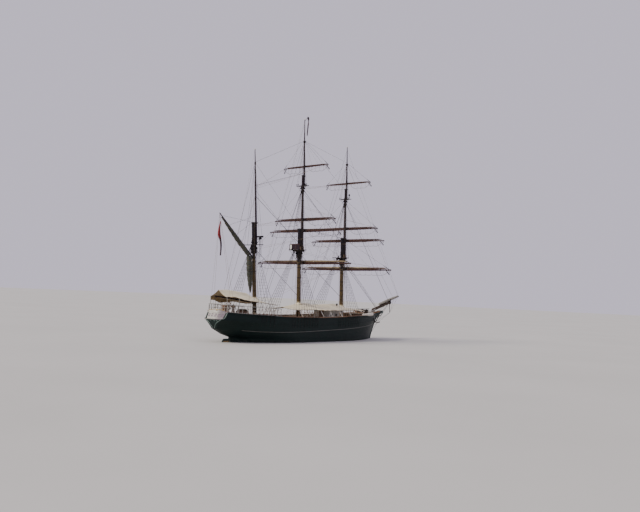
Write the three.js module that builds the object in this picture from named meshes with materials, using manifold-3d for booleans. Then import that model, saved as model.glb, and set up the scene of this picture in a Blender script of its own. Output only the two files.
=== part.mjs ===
// A three-masted barque lying afloat with her sails furled and her awnings spread, as a half-size model.
// Every size is the full-size ship's, in metres: the group at the end scales them to the model's millimetres.
// X runs forward, Y to port and Z up. The origin is on the centreline, at the waterline.
import * as THREE from "three";
import { mergeVertices } from "three/addons/utils/BufferGeometryUtils.js";
import Module from "manifold-3d";

const wasm = await Module();
wasm.setup();

const MODEL_MM = 500; // the model's millimetres for one full-size metre
const FIT = 0.0008; // gap between pieces that touch
const DEG = Math.PI / 180;

// The hull's rows, from the rabbet at the keel up to the rail. Aft and fore are the row's ends,
// stern is its half-width at the aft end, run and entrance say how full its ends are,
// and sheer is its share of the deck's sheer.
const [RABBET, DECK, RAIL] = [0, 10, 11];
const HULL_ROWS = [
  // height, aft, fore, half-breadth, stern, run, entrance, sheer
  [-3.05, -11.7, 13.5, 0.15, 0.15, 1.0, 1.0, 0.0],
  [-2.75, -11.7, 14.6, 1.35, 0.15, 1.2, 1.2, 0.0],
  [-2.1, -11.7, 15.5, 2.55, 0.15, 1.3, 1.4, 0.0],
  [-1.3, -11.7, 16.2, 3.35, 0.15, 1.5, 1.7, 0.0],
  [-0.6, -11.9, 16.7, 3.7, 0.15, 1.8, 2.0, 0.0],
  [-0.1, -13.1, 17.0, 3.82, 0.15, 2.0, 2.2, 0.0],
  [0.55, -13.2, 17.25, 3.9, 0.15, 2.4, 2.3, 0.1],
  [0.95, -14.75, 17.5, 3.92, 0.25, 2.4, 2.4, 0.3],
  [1.45, -16.0, 17.85, 3.93, 0.5, 2.4, 2.6, 0.6],
  [1.9, -16.25, 18.2, 3.93, 0.9, 2.3, 2.8, 0.9],
  [2.45, -16.3, 18.55, 3.9, 1.6, 2.2, 3.0, 1.0],
  [3.42, -16.3, 18.55, 3.86, 1.6, 2.2, 3.1, 1.0],
].map(([z, aft, fore, half, stern, run, entrance, sheer]) => ({
  z, aft, fore, half, stern, run, entrance, sheer,
}));
const AFT_SHOULDER = -3; // the hull is at its full breadth from here
const FORE_SHOULDER = 4; // to here
const STEM_HALF = 0.15; // half the keel's, stem's and sternpost's thickness
const SHEER_AFT = 0.55; // how far the deck rises towards the stern
const SHEER_FORE = 0.8; // and towards the stem

// Stations, as a share of each row's length. The poop, waist and forecastle end at the named ones.
const STATIONS = [
  0, 0.0187, 0.05, 0.09, 0.14, 0.195, 0.2536, 0.32, 0.39, 0.46, 0.53, 0.6, 0.67, 0.73, 0.78, 0.8266,
  0.87, 0.905, 0.935, 0.96, 0.98, 0.992, 1,
];
const [POOP_END, POOP_BREAK, FORECASTLE_BREAK, BOW] = [1, 6, 15, STATIONS.length - 1];

const KEEL_BOTTOM = -3.45;
const HEEL = [-13.6, -3.2]; // aft end and top of the heel that carries the rudder
const STERNPOST = [-13.25, -13.0];
const STEM_OUTLINE = [
  // x, z of the stem's fore edge, from the keel up to the knee under the bowsprit
  [13.3, KEEL_BOTTOM], [14.9, -3.2], [16.1, -2.3], [16.9, -1.2], [17.3, -0.2], [17.65, 0.8], [18.2, 2.0],
  [18.75, 3.0], [19.5, 3.75], [20.7, 4.2], [20.8, 4.5], [19.6, 4.5],
];

const RUDDER_AXIS = -13.4;
const RUDDER_OUTLINE = [
  // x, z round the blade
  [-13.4, -3.1], [-14.3, -3.05], [-14.62, -2.0], [-14.62, 0.0], [-14.3, 0.45], [-13.4, 0.45],
];
const PROPELLER = { x: -12.05, z: -1.9, radius: 0.92, hub: 0.14, blades: 3 };
const WHEEL = { x: -13.75, radius: 0.5, spokes: 8, height: 0.85 };

const BOWSPRIT = { heel: [18.0, 4.59], slope: 0.28, cap: 22.7, radius: 0.25 };
const JIBBOOM = { heel: 19.9, end: 25.33, radius: 0.12, lift: 0.36 }; // lift is above the bowsprit's axis
const RAIL_HEIGHT = { poop: 1.0, forecastle: 0.62 };

// Masts stand in a raked group whose origin is on the mast's axis at the datum height.
// Offsets are forward of the lower mast's axis.
const DATUM = 2.0;
const MASTS = {
  fore: {
    x: 9.79, rake: 2.4, row: DECK, top: 12.5, cap: 15.5, crosstrees: 21.64, topmastCap: 23.2, truck: 29.84,
    radii: [0.3, 0.25], spread: 1.0,
  },
  main: {
    x: -0.05, rake: 2.9, row: DECK, top: 12.96, cap: 15.95, crosstrees: 22.28, topmastCap: 23.75,
    truck: 31.97, radii: [0.31, 0.26], spread: 1.0, topRail: 0.75,
  },
  mizzen: { x: -8.81, rake: 4.9, row: RAIL, top: 12.95, cap: 15.89, truck: 25.78, radii: [0.27, 0.21] },
};
const TOPMAST = { offset: 0.62, radii: [0.19, 0.14] };
const TOPGALLANT = { offset: 0.92, radii: [0.12, 0.05] };
const MIZZEN_TOPMAST = { offset: 0.48, radii: [0.14, 0.05] };
const MASTHEAD = 0.18; // half the side of a lower mast's squared head

const YARDS = [
  // mast, sail, height, half-length, yard's offset, pin's offset, the mast's own offset, radius, sail's radius
  ["fore", "course", 10.71, 8.81, 0.65, 0.37, 0, 0.18, 0.18],
  ["fore", "lower_topsail", 15.11, 7.16, 1.12, 0.9, 0.62, 0.15, 0.14],
  ["fore", "upper_topsail", 16.99, 5.99, 1.07, 0.86, 0.62, 0.14, 0.14],
  ["fore", "topgallant", 24.11, 4.42, 1.22, 1.07, 0.92, 0.1, 0.1],
  ["main", "course", 11.07, 9.0, 0.65, 0.38, 0, 0.18, 0.18],
  ["main", "lower_topsail", 15.72, 6.97, 1.12, 0.9, 0.62, 0.15, 0.14],
  ["main", "upper_topsail", 17.33, 5.91, 1.07, 0.86, 0.62, 0.14, 0.14],
  ["main", "topgallant", 25.11, 4.34, 1.22, 1.07, 0.92, 0.1, 0.1],
];

// Rings of the staysail that lies stowed at the starboard bow: x, height over the deck's edge and radius.
const STAYSAIL = [
  [10.3, 0.13, 0.08], [11.2, 0.13, 0.15], [12.3, 0.1, 0.2], [13.2, 0.07, 0.24], [13.9, 0.06, 0.22],
  [14.2, 0.06, 0.1],
];

const STAY_RADIUS = 0.025;
const STAYS = [
  // name, its upper mast, height and offset, its lower mast, height, or x and lift over the bowsprit
  ["forestay", "fore", 12.1, 0, null, [18.9, 0]],
  ["fore_topmast_stay", "fore", 21.3, 0.62, null, [22.3, JIBBOOM.lift]],
  ["mainstay", "main", 12.5, 0, "fore", 6.3],
  ["main_topmast_stay", "main", 21.9, 0.62, "fore", 14.6],
  ["mizzen_stay", "mizzen", 12.6, 0, "main", 6.2],
  ["mizzen_topmast_stay", "mizzen", 19.5, 0.48, "main", 13.9],
];

// The spanker's spars, in the mizzen mast's raked frame: x, z of each end, from its pin.
const SPANKER_PIN = -0.42;
const BOOM = { inner: [SPANKER_PIN, 3.35], outer: [-7.03, 4.52], radius: 0.12 };
const GAFF = { inner: [SPANKER_PIN, 9.5], outer: [-5.98, 15.09], radius: 0.1 };

// Awnings, as sheets over a ridge: x, half-width, height at the edge, height of the ridge.
const CLOTH = 0.05;
const POOP_AWNING = [
  [-15.6, 1.5, 5.85, 6.7], [-14.3, 2.2, 5.8, 6.78], [-13.2, 2.65, 5.5, 6.7], [-11.9, 2.95, 5.36, 6.57],
  [-10.7, 3.05, 5.28, 6.44], [-9.6, 3.05, 5.16, 6.0], [-7.7, 3.05, 4.97, 5.38],
];
const POOP_POSTS = [-15.45, -14.0, -12.4, -10.8, -9.0];
const MAIN_AWNING = [
  [-3.6, 3.1, 4.4, 4.7], [-2.0, 3.15, 4.42, 5.0], [-0.5, 3.15, 4.45, 5.28], [1.1, 3.15, 4.45, 5.36],
  [1.95, 3.15, 4.42, 5.3],
];
const MAIN_POSTS = [-3.3, -1.6, 1.2];
const FORE_AWNING = [
  [2.05, 3.15, 4.42, 5.2], [3.4, 3.15, 4.42, 5.18], [5.8, 3.15, 4.45, 5.3], [7.7, 3.1, 4.5, 5.41],
  [9.4, 2.95, 4.5, 5.14], [10.6, 2.8, 4.45, 4.85], [14.0, 2.1, 4.4, 4.67],
];
const FORE_POSTS = [3.2, 5.4, 7.6, 11.6];

const FINISH = {
  // colour, roughness, metalness
  hull: [0x0c201b, 0.5, 0], keel: [0x2a2320, 0.8, 0], white: [0xd8d4c6, 0.6, 0], deck: [0x9b8463, 0.85, 0],
  buff: [0x9c7b4c, 0.6, 0], spar: [0x5a3a24, 0.6, 0], canvas: [0xd9cfb4, 0.95, 0], iron: [0x33312e, 0.6, 0.6],
  wire: [0x1a1816, 0.6, 0.7], bronze: [0x8a6a35, 0.4, 0.9], teak: [0x6b4526, 0.6, 0], red: [0x9e1f26, 0.9, 0],
};

// Solids

// The closed solid inside a surface, which may be wound either way.
function solid(geometry) {
  const surface = geometry.clone();
  surface.deleteAttribute("normal");
  surface.deleteAttribute("uv");
  const merged = mergeVertices(surface, 1e-6);
  const triVerts = new Uint32Array(merged.index.array);
  const wound = (corners) => new wasm.Manifold(
    new wasm.Mesh({ numProp: 3, vertProperties: merged.attributes.position.array, triVerts: corners }),
  );
  const made = wound(triVerts);
  return made.volume() > 0 ? made : wound(triVerts.toReversed());
}

function geometryOf(made) {
  const { vertProperties, triVerts } = made.getMesh();
  const geometry = new THREE.BufferGeometry();
  geometry.setAttribute("position", new THREE.BufferAttribute(vertProperties, 3));
  geometry.setIndex(new THREE.BufferAttribute(triVerts, 1));
  geometry.computeVertexNormals();
  return geometry;
}

// A skin through rings of points that all run the same way round, closed straight across at both ends.
function skin(rings) {
  const count = rings[0].length;
  const last = (rings.length - 1) * count;
  const faces = [];
  for (let r = 0; r < last; r += count) {
    for (let i = 0; i < count; i++) {
      const j = (i + 1) % count;
      faces.push(r + i, r + j, r + count + j, r + i, r + count + j, r + count + i);
    }
  }
  for (let i = 0; i < count / 2 - 1; i++) {
    const [a, b, c, d] = [i, i + 1, count - 2 - i, count - 1 - i];
    faces.push(a, c, b, a, d, c);
    faces.push(last + a, last + b, last + c, last + a, last + c, last + d);
  }
  const geometry = new THREE.BufferGeometry();
  geometry.setAttribute("position", new THREE.Float32BufferAttribute(rings.flat(2), 3));
  geometry.setIndex(faces);
  return solid(geometry);
}

function box([x0, x1], [y0, y1], [z0, z1]) {
  const geometry = new THREE.BoxGeometry(x1 - x0, y1 - y0, z1 - z0);
  return solid(geometry.translate((x0 + x1) / 2, (y0 + y1) / 2, (z0 + z1) / 2));
}

// Turns a shape made along +Y so that it runs from one point to another.
function along(geometry, from, to) {
  const start = new THREE.Vector3(...from);
  const way = new THREE.Vector3(...to).sub(start);
  const turn = new THREE.Quaternion().setFromUnitVectors(new THREE.Vector3(0, 1, 0), way.clone().normalize());
  return solid(geometry.applyQuaternion(turn).translate(start.x, start.y, start.z));
}

function rod(from, to, radius, endRadius = radius, sides = 10) {
  const length = new THREE.Vector3(...from).distanceTo(new THREE.Vector3(...to));
  const geometry = new THREE.CylinderGeometry(endRadius, radius, length, sides);
  return along(geometry.translate(0, length / 2, 0), from, to);
}

// A turned piece: its profile gives the share of its length and the radius there.
function turned(from, to, profile, sides = 10) {
  const length = new THREE.Vector3(...from).distanceTo(new THREE.Vector3(...to));
  const points = profile.map(([share, radius]) => new THREE.Vector2(radius, share * length));
  const closed = [new THREE.Vector2(0, points[0].y), ...points, new THREE.Vector2(0, points.at(-1).y)];
  return along(new THREE.LatheGeometry(closed, sides), from, to);
}

// A flat plate with an outline of x, z points, between two values of y.
function plate(outline, [y0, y1]) {
  const shape = new THREE.Shape(outline.map(([x, z]) => new THREE.Vector2(x, z)));
  const geometry = new THREE.ExtrudeGeometry(shape, { depth: y1 - y0, bevelEnabled: false });
  return solid(geometry.rotateX(Math.PI / 2).translate(0, y1, 0));
}

const joined = (solids) => solids.reduce((whole, piece) => whole.add(piece));
const ends = (middle, half) => [middle - half, middle + half];

// The hull's form

function sheerAt(x) {
  return x < 0 ? SHEER_AFT * (x / HULL_ROWS[DECK].aft) ** 2 : SHEER_FORE * (x / HULL_ROWS[DECK].fore) ** 1.5;
}

function halfBreadth(row, x) {
  if (x >= AFT_SHOULDER && x <= FORE_SHOULDER) return row.half;
  const aft = x < AFT_SHOULDER;
  const [from, to, end, power] = aft
    ? [AFT_SHOULDER, row.aft, row.stern, row.run]
    : [FORE_SHOULDER, row.fore, STEM_HALF, row.entrance];
  return row.half + (end - row.half) * ((x - from) / (to - from)) ** power;
}

// A row's point at a station, on one side, moved in by an inset and up by a lift.
function stationPoint(row, station, side, inset = 0, lift = 0) {
  const x = row.aft + (row.fore - row.aft) * STATIONS[station];
  const breadth = Math.max(halfBreadth(row, x) - inset, STEM_HALF / 3);
  return [x, side * breadth, row.z + row.sheer * sheerAt(x) + lift];
}

// The height of a row's straight runs between stations, at any x.
function heightAt(rowIndex, x) {
  const row = HULL_ROWS[rowIndex];
  const points = STATIONS.map((_, i) => stationPoint(row, i, 1));
  const i = Math.max(1, points.findIndex(([px]) => px >= x));
  const [[x0, , z0], [x1, , z1]] = [points[i - 1], points[i]];
  return z0 + ((z1 - z0) * (x - x0)) / (x1 - x0);
}

function breadthAt(rowIndex, x) {
  return halfBreadth(HULL_ROWS[rowIndex], x);
}

// How far a round foot on a leaning axis is lifted so that all of it stands clear of a sloping deck.
function footLift(rowIndex, x, radius, slope) {
  const rises = [-1, -0.75, -0.5, -0.25, 0, 0.25, 0.5, 0.75, 1].map((share) => {
    const step = share * radius;
    return heightAt(rowIndex, x + step) - heightAt(rowIndex, x) - step * slope;
  });
  return Math.max(...rises) + FIT;
}

const stationsBetween = (first, last) => Array.from({ length: last - first + 1 }, (_, i) => first + i);

// A plank along one side of a row, between two stations.
function plank(rowIndex, [first, last], side, [outer, inner], [low, high]) {
  const row = HULL_ROWS[rowIndex];
  return skin(stationsBetween(first, last).map((i) => [
    stationPoint(row, i, side, outer, low), stationPoint(row, i, side, outer, high),
    stationPoint(row, i, side, inner, high), stationPoint(row, i, side, inner, low),
  ]));
}

function hull() {
  const rows = HULL_ROWS.slice(0, DECK + 1);
  return skin(stationsBetween(0, BOW).map((i) => [
    ...rows.map((row) => stationPoint(row, i, -1)),
    ...rows.toReversed().map((row) => stationPoint(row, i, 1)),
  ]));
}

function keel() {
  const rabbet = HULL_ROWS[RABBET];
  const stem = HULL_ROWS.map((row) => {
    const [x, , z] = stationPoint(row, BOW, 1);
    return [x + 2 * FIT, z];
  });
  stem[0] = [rabbet.fore + FIT, rabbet.z - FIT];
  const postTop = HULL_ROWS[5].z - FIT;
  const slope = (HULL_ROWS[5].z - HULL_ROWS[4].z) / (HULL_ROWS[5].aft - HULL_ROWS[4].aft);
  const outline = [
    [HEEL[0], KEEL_BOTTOM], ...STEM_OUTLINE, ...stem.toReversed(),
    [STERNPOST[1], rabbet.z - FIT], [STERNPOST[1], postTop + slope * (STERNPOST[1] - HULL_ROWS[5].aft)],
    [HULL_ROWS[5].aft, postTop], [STERNPOST[0], postTop], [STERNPOST[0], HEEL[1]], HEEL,
  ];
  return plate(outline, ends(0, STEM_HALF));
}

// The raised deck between two stations, the ship's full width.
function raisedDeck([first, last]) {
  const [low, high] = [HULL_ROWS[DECK], HULL_ROWS[RAIL]];
  return skin(stationsBetween(first, last).map((i) => [
    stationPoint(low, i, -1, 0, FIT), stationPoint(high, i, -1),
    stationPoint(high, i, 1), stationPoint(low, i, 1, 0, FIT),
  ]));
}

// The poop, with a moulded board across its after face.
function poop() {
  const [x, , deck] = stationPoint(HULL_ROWS[RAIL], POOP_END, 1);
  const low = heightAt(DECK, HULL_ROWS[DECK].aft) + FIT;
  const shape = new THREE.Shape();
  shape.moveTo(-1.5, low).lineTo(1.5, low).lineTo(1.6, deck + 0.08);
  shape.quadraticCurveTo(0, deck + 0.42, -1.6, deck + 0.08).closePath();
  const board = new THREE.ExtrudeGeometry(shape, { depth: 0.1, bevelEnabled: false, curveSegments: 8 });
  board.rotateX(Math.PI / 2).rotateZ(Math.PI / 2).translate(x - 0.08, 0, 0);
  return raisedDeck([POOP_END, POOP_BREAK]).add(solid(board));
}

// The waist's bulwark with its rail cap and the posts that carry the awnings' edges.
function bulwark(side) {
  const run = [POOP_BREAK, FORECASTLE_BREAK];
  const [low, high] = [HULL_ROWS[DECK], HULL_ROWS[RAIL]];
  const wall = skin(stationsBetween(...run).map((i, k, all) => {
    const end = k === 0 ? FIT * 2 : k === all.length - 1 ? -FIT * 2 : 0;
    const corners = [
      stationPoint(low, i, side, 0, FIT), stationPoint(high, i, side),
      stationPoint(high, i, side, 0.16), stationPoint(low, i, side, 0.16, FIT),
    ];
    return corners.map(([x, y, z]) => [x + end, y, z]);
  }));
  const cap = skin(stationsBetween(...run).map((i, k, all) => {
    const end = k === 0 ? FIT * 2 : k === all.length - 1 ? -FIT * 2 : 0;
    const corners = [
      stationPoint(high, i, side, -0.05, -0.02), stationPoint(high, i, side, -0.05, 0.07),
      stationPoint(high, i, side, 0.25, 0.07), stationPoint(high, i, side, 0.25, -0.02),
    ];
    return corners.map(([x, y, z]) => [x + end, y, z]);
  }));
  const posts = [
    ...MAIN_POSTS.map((x) => awningPost(MAIN_AWNING, x, side)),
    ...FORE_POSTS.map((x) => awningPost(FORE_AWNING, x, side)),
  ];
  return joined([wall, cap, ...posts]).subtract(below(mainAwning)).subtract(below(foreAwning));
}

// An awning's half-width, edge height and ridge height at any x.
function sectionAt(sections, x) {
  const i = Math.max(1, sections.findIndex(([at]) => at >= x));
  const [before, after] = [sections[i - 1], sections[i]];
  const share = (x - before[0]) / (after[0] - before[0]);
  return before.slice(1).map((value, k) => value + (after[k + 1] - value) * share);
}

// A post from the rail up into the cloth near its edge.
function awningPost(sections, x, side) {
  const [half, edge, ridge] = sectionAt(sections, x);
  const inset = 0.08;
  const top = [x, side * (half - inset), edge + ((ridge - edge) * inset) / half - 0.75 * CLOTH];
  return rod([x, side * (breadthAt(RAIL, x) - 0.1), heightAt(RAIL, x) + 0.035], top, 0.03, 0.03, 6);
}

// A copy a little lower, to cut what reaches up to a sheet.
const below = (sheet) => sheet.translate([0, 0, -2 * FIT]);

function awning(sections, hole) {
  const sheet = skin(sections.map(([x, half, edge, ridge]) => [
    [x, -half, edge], [x, 0, ridge], [x, half, edge],
    [x, half, edge - CLOTH], [x, 0, ridge - CLOTH], [x, -half, edge - CLOTH],
  ]));
  return sheet.subtract(hole);
}

// A square hole in a sheet, with room for the mast that passes through it.
function mastHole(mast, z) {
  const [x] = onMast(mast, z);
  return box(ends(x, 0.46), ends(0, 0.44), ends(z, 1));
}

// An open rail along a raised deck: a foot plank, stanchions, a middle rail and a top rail.
function openRail(run, side, height, posts) {
  const row = HULL_ROWS[RAIL];
  const [inset, foot, rail] = [0.1, 0.07, 0.045];
  const planks = [
    plank(RAIL, run, side, [-0.04, 0.22], [FIT, foot]),
    plank(RAIL, run, side, [inset - rail, inset + rail], [height - 0.07, height]),
    plank(RAIL, run, side, [inset - 0.02, inset + 0.02], [height * 0.52, height * 0.52 + 0.04]),
  ];
  const [first, last] = run.map((i) => stationPoint(row, i, side)[0]);
  const stanchions = Array.from({ length: posts }, (_, i) => {
    const x = first + 0.06 + ((last - first - 0.12) * i) / (posts - 1);
    const y = side * (breadthAt(RAIL, x) - inset);
    return box(ends(x, 0.03), ends(y, 0.03), [heightAt(RAIL, x) + 0.03, heightAt(RAIL, x) + height - 0.03]);
  });
  return joined([...planks, ...stanchions]);
}

// One side of the poop's rail, with half of the rail across the stern and the posts that carry the awning.
function poopRail(side) {
  const height = RAIL_HEIGHT.poop;
  const rail = openRail([POOP_END, POOP_BREAK], side, height, 9);
  const posts = POOP_POSTS.map((x) => awningPost(POOP_AWNING, x, side));
  const [end, half, deck] = stationPoint(HULL_ROWS[RAIL], POOP_END, 1);
  const clear = end + 0.05;
  const room = box([end - 1, clear], ends(0, half + 1), ends(deck, 2));
  const across = [side * FIT, side * (half - 0.06)].toSorted((a, b) => a - b);
  const bars = [[0.0, 0.07], [height * 0.52, height * 0.52 + 0.04], [height - 0.07, height]].map(([low, high]) => (
    box([clear, clear + 0.09], across, [deck + FIT + low, deck + high])
  ));
  const stanchions = [0.37, 1.1].map((y) => box(
    [clear + 0.02, clear + 0.08], ends(side * y, 0.03), [deck + 0.03, deck + height - 0.03],
  ));
  return joined([joined([rail, ...posts]).subtract(room), ...bars, ...stanchions]).subtract(below(poopAwning));
}

// A solid that stands on a sloping deck and has a flat top.
function onDeck(rowIndex, [x0, x1], yRange, top) {
  const [z0, z1] = [heightAt(rowIndex, x0) + FIT, heightAt(rowIndex, x1) + FIT];
  return plate([[x0, z0], [x1, z1], [x1, top], [x0, top]], yRange);
}

const HOUSE = { x: [5.0, 8.3], half: 1.5, wall: 0.1, height: 1.85, window: [0.5, 0.42], sill: 0.85 };
const DOOR = { y: [-0.4, 0.35], height: 1.65, thick: 0.06 };
const HOUSE_FLOOR = heightAt(DECK, HOUSE.x[1]);
const HOUSE_TOP = HOUSE_FLOOR + HOUSE.height;

function deckhouse() {
  const { x, half, wall, window, sill } = HOUSE;
  const walls = onDeck(DECK, x, ends(0, half), HOUSE_TOP);
  const room = box([x[0] + wall, x[1] - wall], ends(0, half - wall), [HOUSE_FLOOR - 1, HOUSE_TOP + 1]);
  const doorway = box(
    [x[0] - 1, x[0] + 2 * wall], [DOOR.y[0] - 0.01, DOOR.y[1] + 0.01],
    [HOUSE_FLOOR - 0.02, HOUSE_FLOOR + DOOR.height + 0.03],
  );
  const windows = [0.2, 0.5, 0.8].map((share) => {
    const middle = x[0] + (x[1] - x[0]) * share;
    const low = HOUSE_FLOOR + sill;
    return box(ends(middle, window[0] / 2), ends(0, half + 1), [low, low + window[1]]);
  });
  return [room, doorway, ...windows].reduce((left, hole) => left.subtract(hole), walls);
}

function deckhouseRoof() {
  const over = 0.12;
  const [x0, x1] = [HOUSE.x[0] - over, HOUSE.x[1] + over];
  const low = HOUSE_TOP + FIT;
  return skin([x0, x1].map((x) => [
    [x, -HOUSE.half - over, low], [x, -HOUSE.half - over, low + 0.06], [x, 0, low + 0.16],
    [x, HOUSE.half + over, low + 0.06], [x, HOUSE.half + over, low], [x, 0, low],
  ]));
}

function deckhouseDoor() {
  const face = HOUSE.x[0] - FIT;
  const low = HOUSE_FLOOR + 0.02;
  const leaf = box([face - DOOR.thick, face], [DOOR.y[0] - 0.08, DOOR.y[1] + 0.08], [low, low + DOOR.height]);
  const knob = rod([face - DOOR.thick - 0.06, DOOR.y[0] + 0.02, low + 0.8],
    [face - DOOR.thick, DOOR.y[0] + 0.02, low + 0.8], 0.035);
  return leaf.add(knob);
}

function mainHatch() {
  const x = [1.9, 3.6];
  const top = heightAt(DECK, x[1]) + 0.5;
  const lid = box([x[0] - 0.06, x[1] + 0.06], ends(0, 1.06), [top - 0.1, top]);
  return onDeck(DECK, x, ends(0, 1.0), top).add(lid);
}

// A barrel between two cheeks, on the forecastle.
function windlass() {
  const [x, half] = [[14.7, 15.7], 0.75];
  const floor = heightAt(RAIL, x[1]);
  const cheeks = [-1, 1].map((side) => onDeck(RAIL, x, ends(side * half, 0.07), floor + 0.5));
  const barrel = turned([15.2, -1.05, floor + 0.42], [15.2, 1.05, floor + 0.42],
    [[0, 0.16], [0.12, 0.12], [0.2, 0.2], [0.4, 0.15], [0.6, 0.15], [0.8, 0.2], [0.88, 0.12], [1, 0.16]], 12);
  const bed = onDeck(RAIL, [14.8, 15.6], ends(0, half), floor + 0.12);
  return joined([...cheeks, barrel, bed]);
}

function binnacle() {
  const x = -12.9;
  const foot = heightAt(RAIL, x) + footLift(RAIL, x, 0.24, 0);
  return turned([x, 0, foot], [x, 0, foot + 1.15],
    [[0, 0.24], [0.08, 0.24], [0.1, 0.15], [0.66, 0.15], [0.7, 0.22], [0.86, 0.22], [0.96, 0.12]], 12);
}

const WHEEL_Z = heightAt(RAIL, WHEEL.x) + WHEEL.height;

function wheelBox() {
  const x = [WHEEL.x - 0.95, WHEEL.x - 0.25];
  return onDeck(RAIL, x, ends(0, 0.32), WHEEL_Z + 0.12);
}

function steeringWheel() {
  const { x, radius, spokes } = WHEEL;
  const rim = solid(new THREE.TorusGeometry(radius, 0.035, 6, 20).rotateY(Math.PI / 2).translate(x, 0, WHEEL_Z));
  const hub = rod([x - 0.25 + FIT, 0, WHEEL_Z], [x + 0.08, 0, WHEEL_Z], 0.08, 0.08, 12);
  const arms = Array.from({ length: spokes / 2 }, (_, i) => {
    const turn = (i / spokes) * 2 * Math.PI;
    const [y, z] = [Math.cos(turn) * (radius + 0.14), Math.sin(turn) * (radius + 0.14)];
    return rod([x, -y, WHEEL_Z - z], [x, y, WHEEL_Z + z], 0.022, 0.022, 6);
  });
  return joined([rim, hub, ...arms]);
}

function rudder() {
  const blade = plate(RUDDER_OUTLINE, ends(0, 0.06));
  const stock = rod([RUDDER_AXIS, 0, HEEL[1] + FIT], [RUDDER_AXIS, 0, 0.62], 0.09, 0.09, 12);
  return blade.add(stock);
}

function propeller() {
  const { x, z, radius, hub, blades } = PROPELLER;
  const boss = turned([HULL_ROWS[1].aft - FIT, 0, z], [x - 0.35, 0, z], [[0, hub], [0.7, hub], [1, 0.05]], 12);
  const parts = Array.from({ length: blades }, (_, i) => {
    const shape = new THREE.Shape();
    shape.moveTo(-0.1, 0).quadraticCurveTo(-0.34, radius * 0.65, 0, radius).quadraticCurveTo(
      0.34, radius * 0.65, 0.1, 0);
    const blade = new THREE.ExtrudeGeometry(shape, { depth: 0.04, bevelEnabled: false, curveSegments: 6 });
    blade.translate(0, 0, -0.02).rotateY(Math.PI / 2 - 38 * DEG).rotateX(Math.PI / 2);
    return solid(blade.rotateX((i / blades) * 2 * Math.PI).translate(x, 0, z));
  });
  return joined([boss, ...parts]);
}

// Bowsprit, jib-boom and the headsail furled along it

function bowspritPoint(x, lift = 0) {
  const { heel, slope } = BOWSPRIT;
  return [x, 0, heel[1] + slope * (x - heel[0]) + lift];
}

function bowspritCap(grow = 0) {
  const { cap } = BOWSPRIT;
  const [, , z] = bowspritPoint(cap);
  return box(ends(cap - 0.12, 0.12 + grow), ends(0, 0.24), [z - 0.3, z + JIBBOOM.lift + 0.22 + grow]);
}

function bowsprit() {
  const { heel, cap, radius } = BOWSPRIT;
  const spar = rod(bowspritPoint(heel[0]), bowspritPoint(cap), radius, radius * 0.75, 12);
  const chock = onDeck(RAIL, [17.85, 18.4], ends(0, 0.2), heel[1]);
  return joined([spar, chock, bowspritCap()]).subtract(jibboom(FIT));
}

function jibboom(grow = 0) {
  const { heel, end, radius, lift } = JIBBOOM;
  const [from, to] = [bowspritPoint(heel - grow, lift), bowspritPoint(end + grow, lift)];
  return rod(from, to, radius + grow, radius * 0.7 + grow, 12);
}

function headsail() {
  const lift = JIBBOOM.lift + 0.13;
  const roll = turned(bowspritPoint(19.6, lift), bowspritPoint(25.1, lift),
    [[0, 0.08], [0.12, 0.2], [0.45, 0.18], [0.8, 0.15], [1, 0.08]], 10);
  const topmastStay = stayLine(STAYS.find(([name]) => name === "fore_topmast_stay"), STAY_RADIUS + FIT);
  return roll.subtract(joined([jibboom(2 * FIT), bowspritCap(FIT), topmastStay]));
}

// The fore staysail, stowed outside the starboard rail at the bow and cut to the plank that it lies on.
function staysail() {
  const rings = STAYSAIL.map(([x, rise, radius]) => Array.from({ length: 8 }, (_, i) => {
    const turn = (i / 8) * 2 * Math.PI;
    const [out, z] = [breadthAt(RAIL, x) + 0.85 * radius, heightAt(RAIL, x) + rise];
    return [x, radius * Math.cos(turn) - out, z + radius * Math.sin(turn)];
  }));
  const around = [FORECASTLE_BREAK - 2, FORECASTLE_BREAK + 2];
  return skin(rings).subtract(plank(RAIL, around, -1, [-0.05 - FIT, 0.9], [-1.2, 0.07 + FIT]));
}

// Masts, each in its own raked frame

const upMast = (mast, z) => (z - DATUM) / Math.cos(mast.rake * DEG);

// A point of the raked frame from the ship's x and z.
function inMast(mast, x, z) {
  const [c, s] = [Math.cos(mast.rake * DEG), Math.sin(mast.rake * DEG)];
  return [(x - mast.x) * c + (z - DATUM) * s, 0, (mast.x - x) * s + (z - DATUM) * c];
}

// And the ship's x, y and z of a point on a mast at a height and an offset forward.
function onMast(mast, z, offset = 0) {
  const [c, s] = [Math.cos(mast.rake * DEG), Math.sin(mast.rake * DEG)];
  const up = upMast(mast, z);
  return [mast.x + offset * c - up * s, 0, DATUM + offset * s + up * c];
}

const atRake = (mast, made) => made.rotate([0, -mast.rake, 0]).translate([mast.x, 0, DATUM]);

const TOP_HALF = 0.05; // half the thickness of a top, and of the crosstrees
const COAT = { radius: 0.42, height: 0.3 };

function footOf(mast) {
  const slope = Math.tan(mast.rake * DEG);
  const x = mast.x - slope * (heightAt(mast.row, mast.x) - DATUM);
  const lift = footLift(mast.row, x, COAT.radius, slope);
  return upMast(mast, heightAt(mast.row, x) + lift);
}

function lowerShaft(mast, grow = 0) {
  const foot = footOf(mast);
  const [low, high] = mast.radii.map((radius) => radius + grow);
  const [seat, head] = [upMast(mast, mast.top), upMast(mast, mast.cap) + 0.12];
  const shaft = rod([0, 0, foot], [0, 0, seat + grow], low, high, 12);
  const coat = rod([0, 0, foot], [0, 0, foot + COAT.height], COAT.radius + grow, low, 12);
  const side = ends(0, MASTHEAD + grow);
  return joined([shaft, coat, box(side, side, [seat - 0.1, head + grow])]);
}

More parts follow.
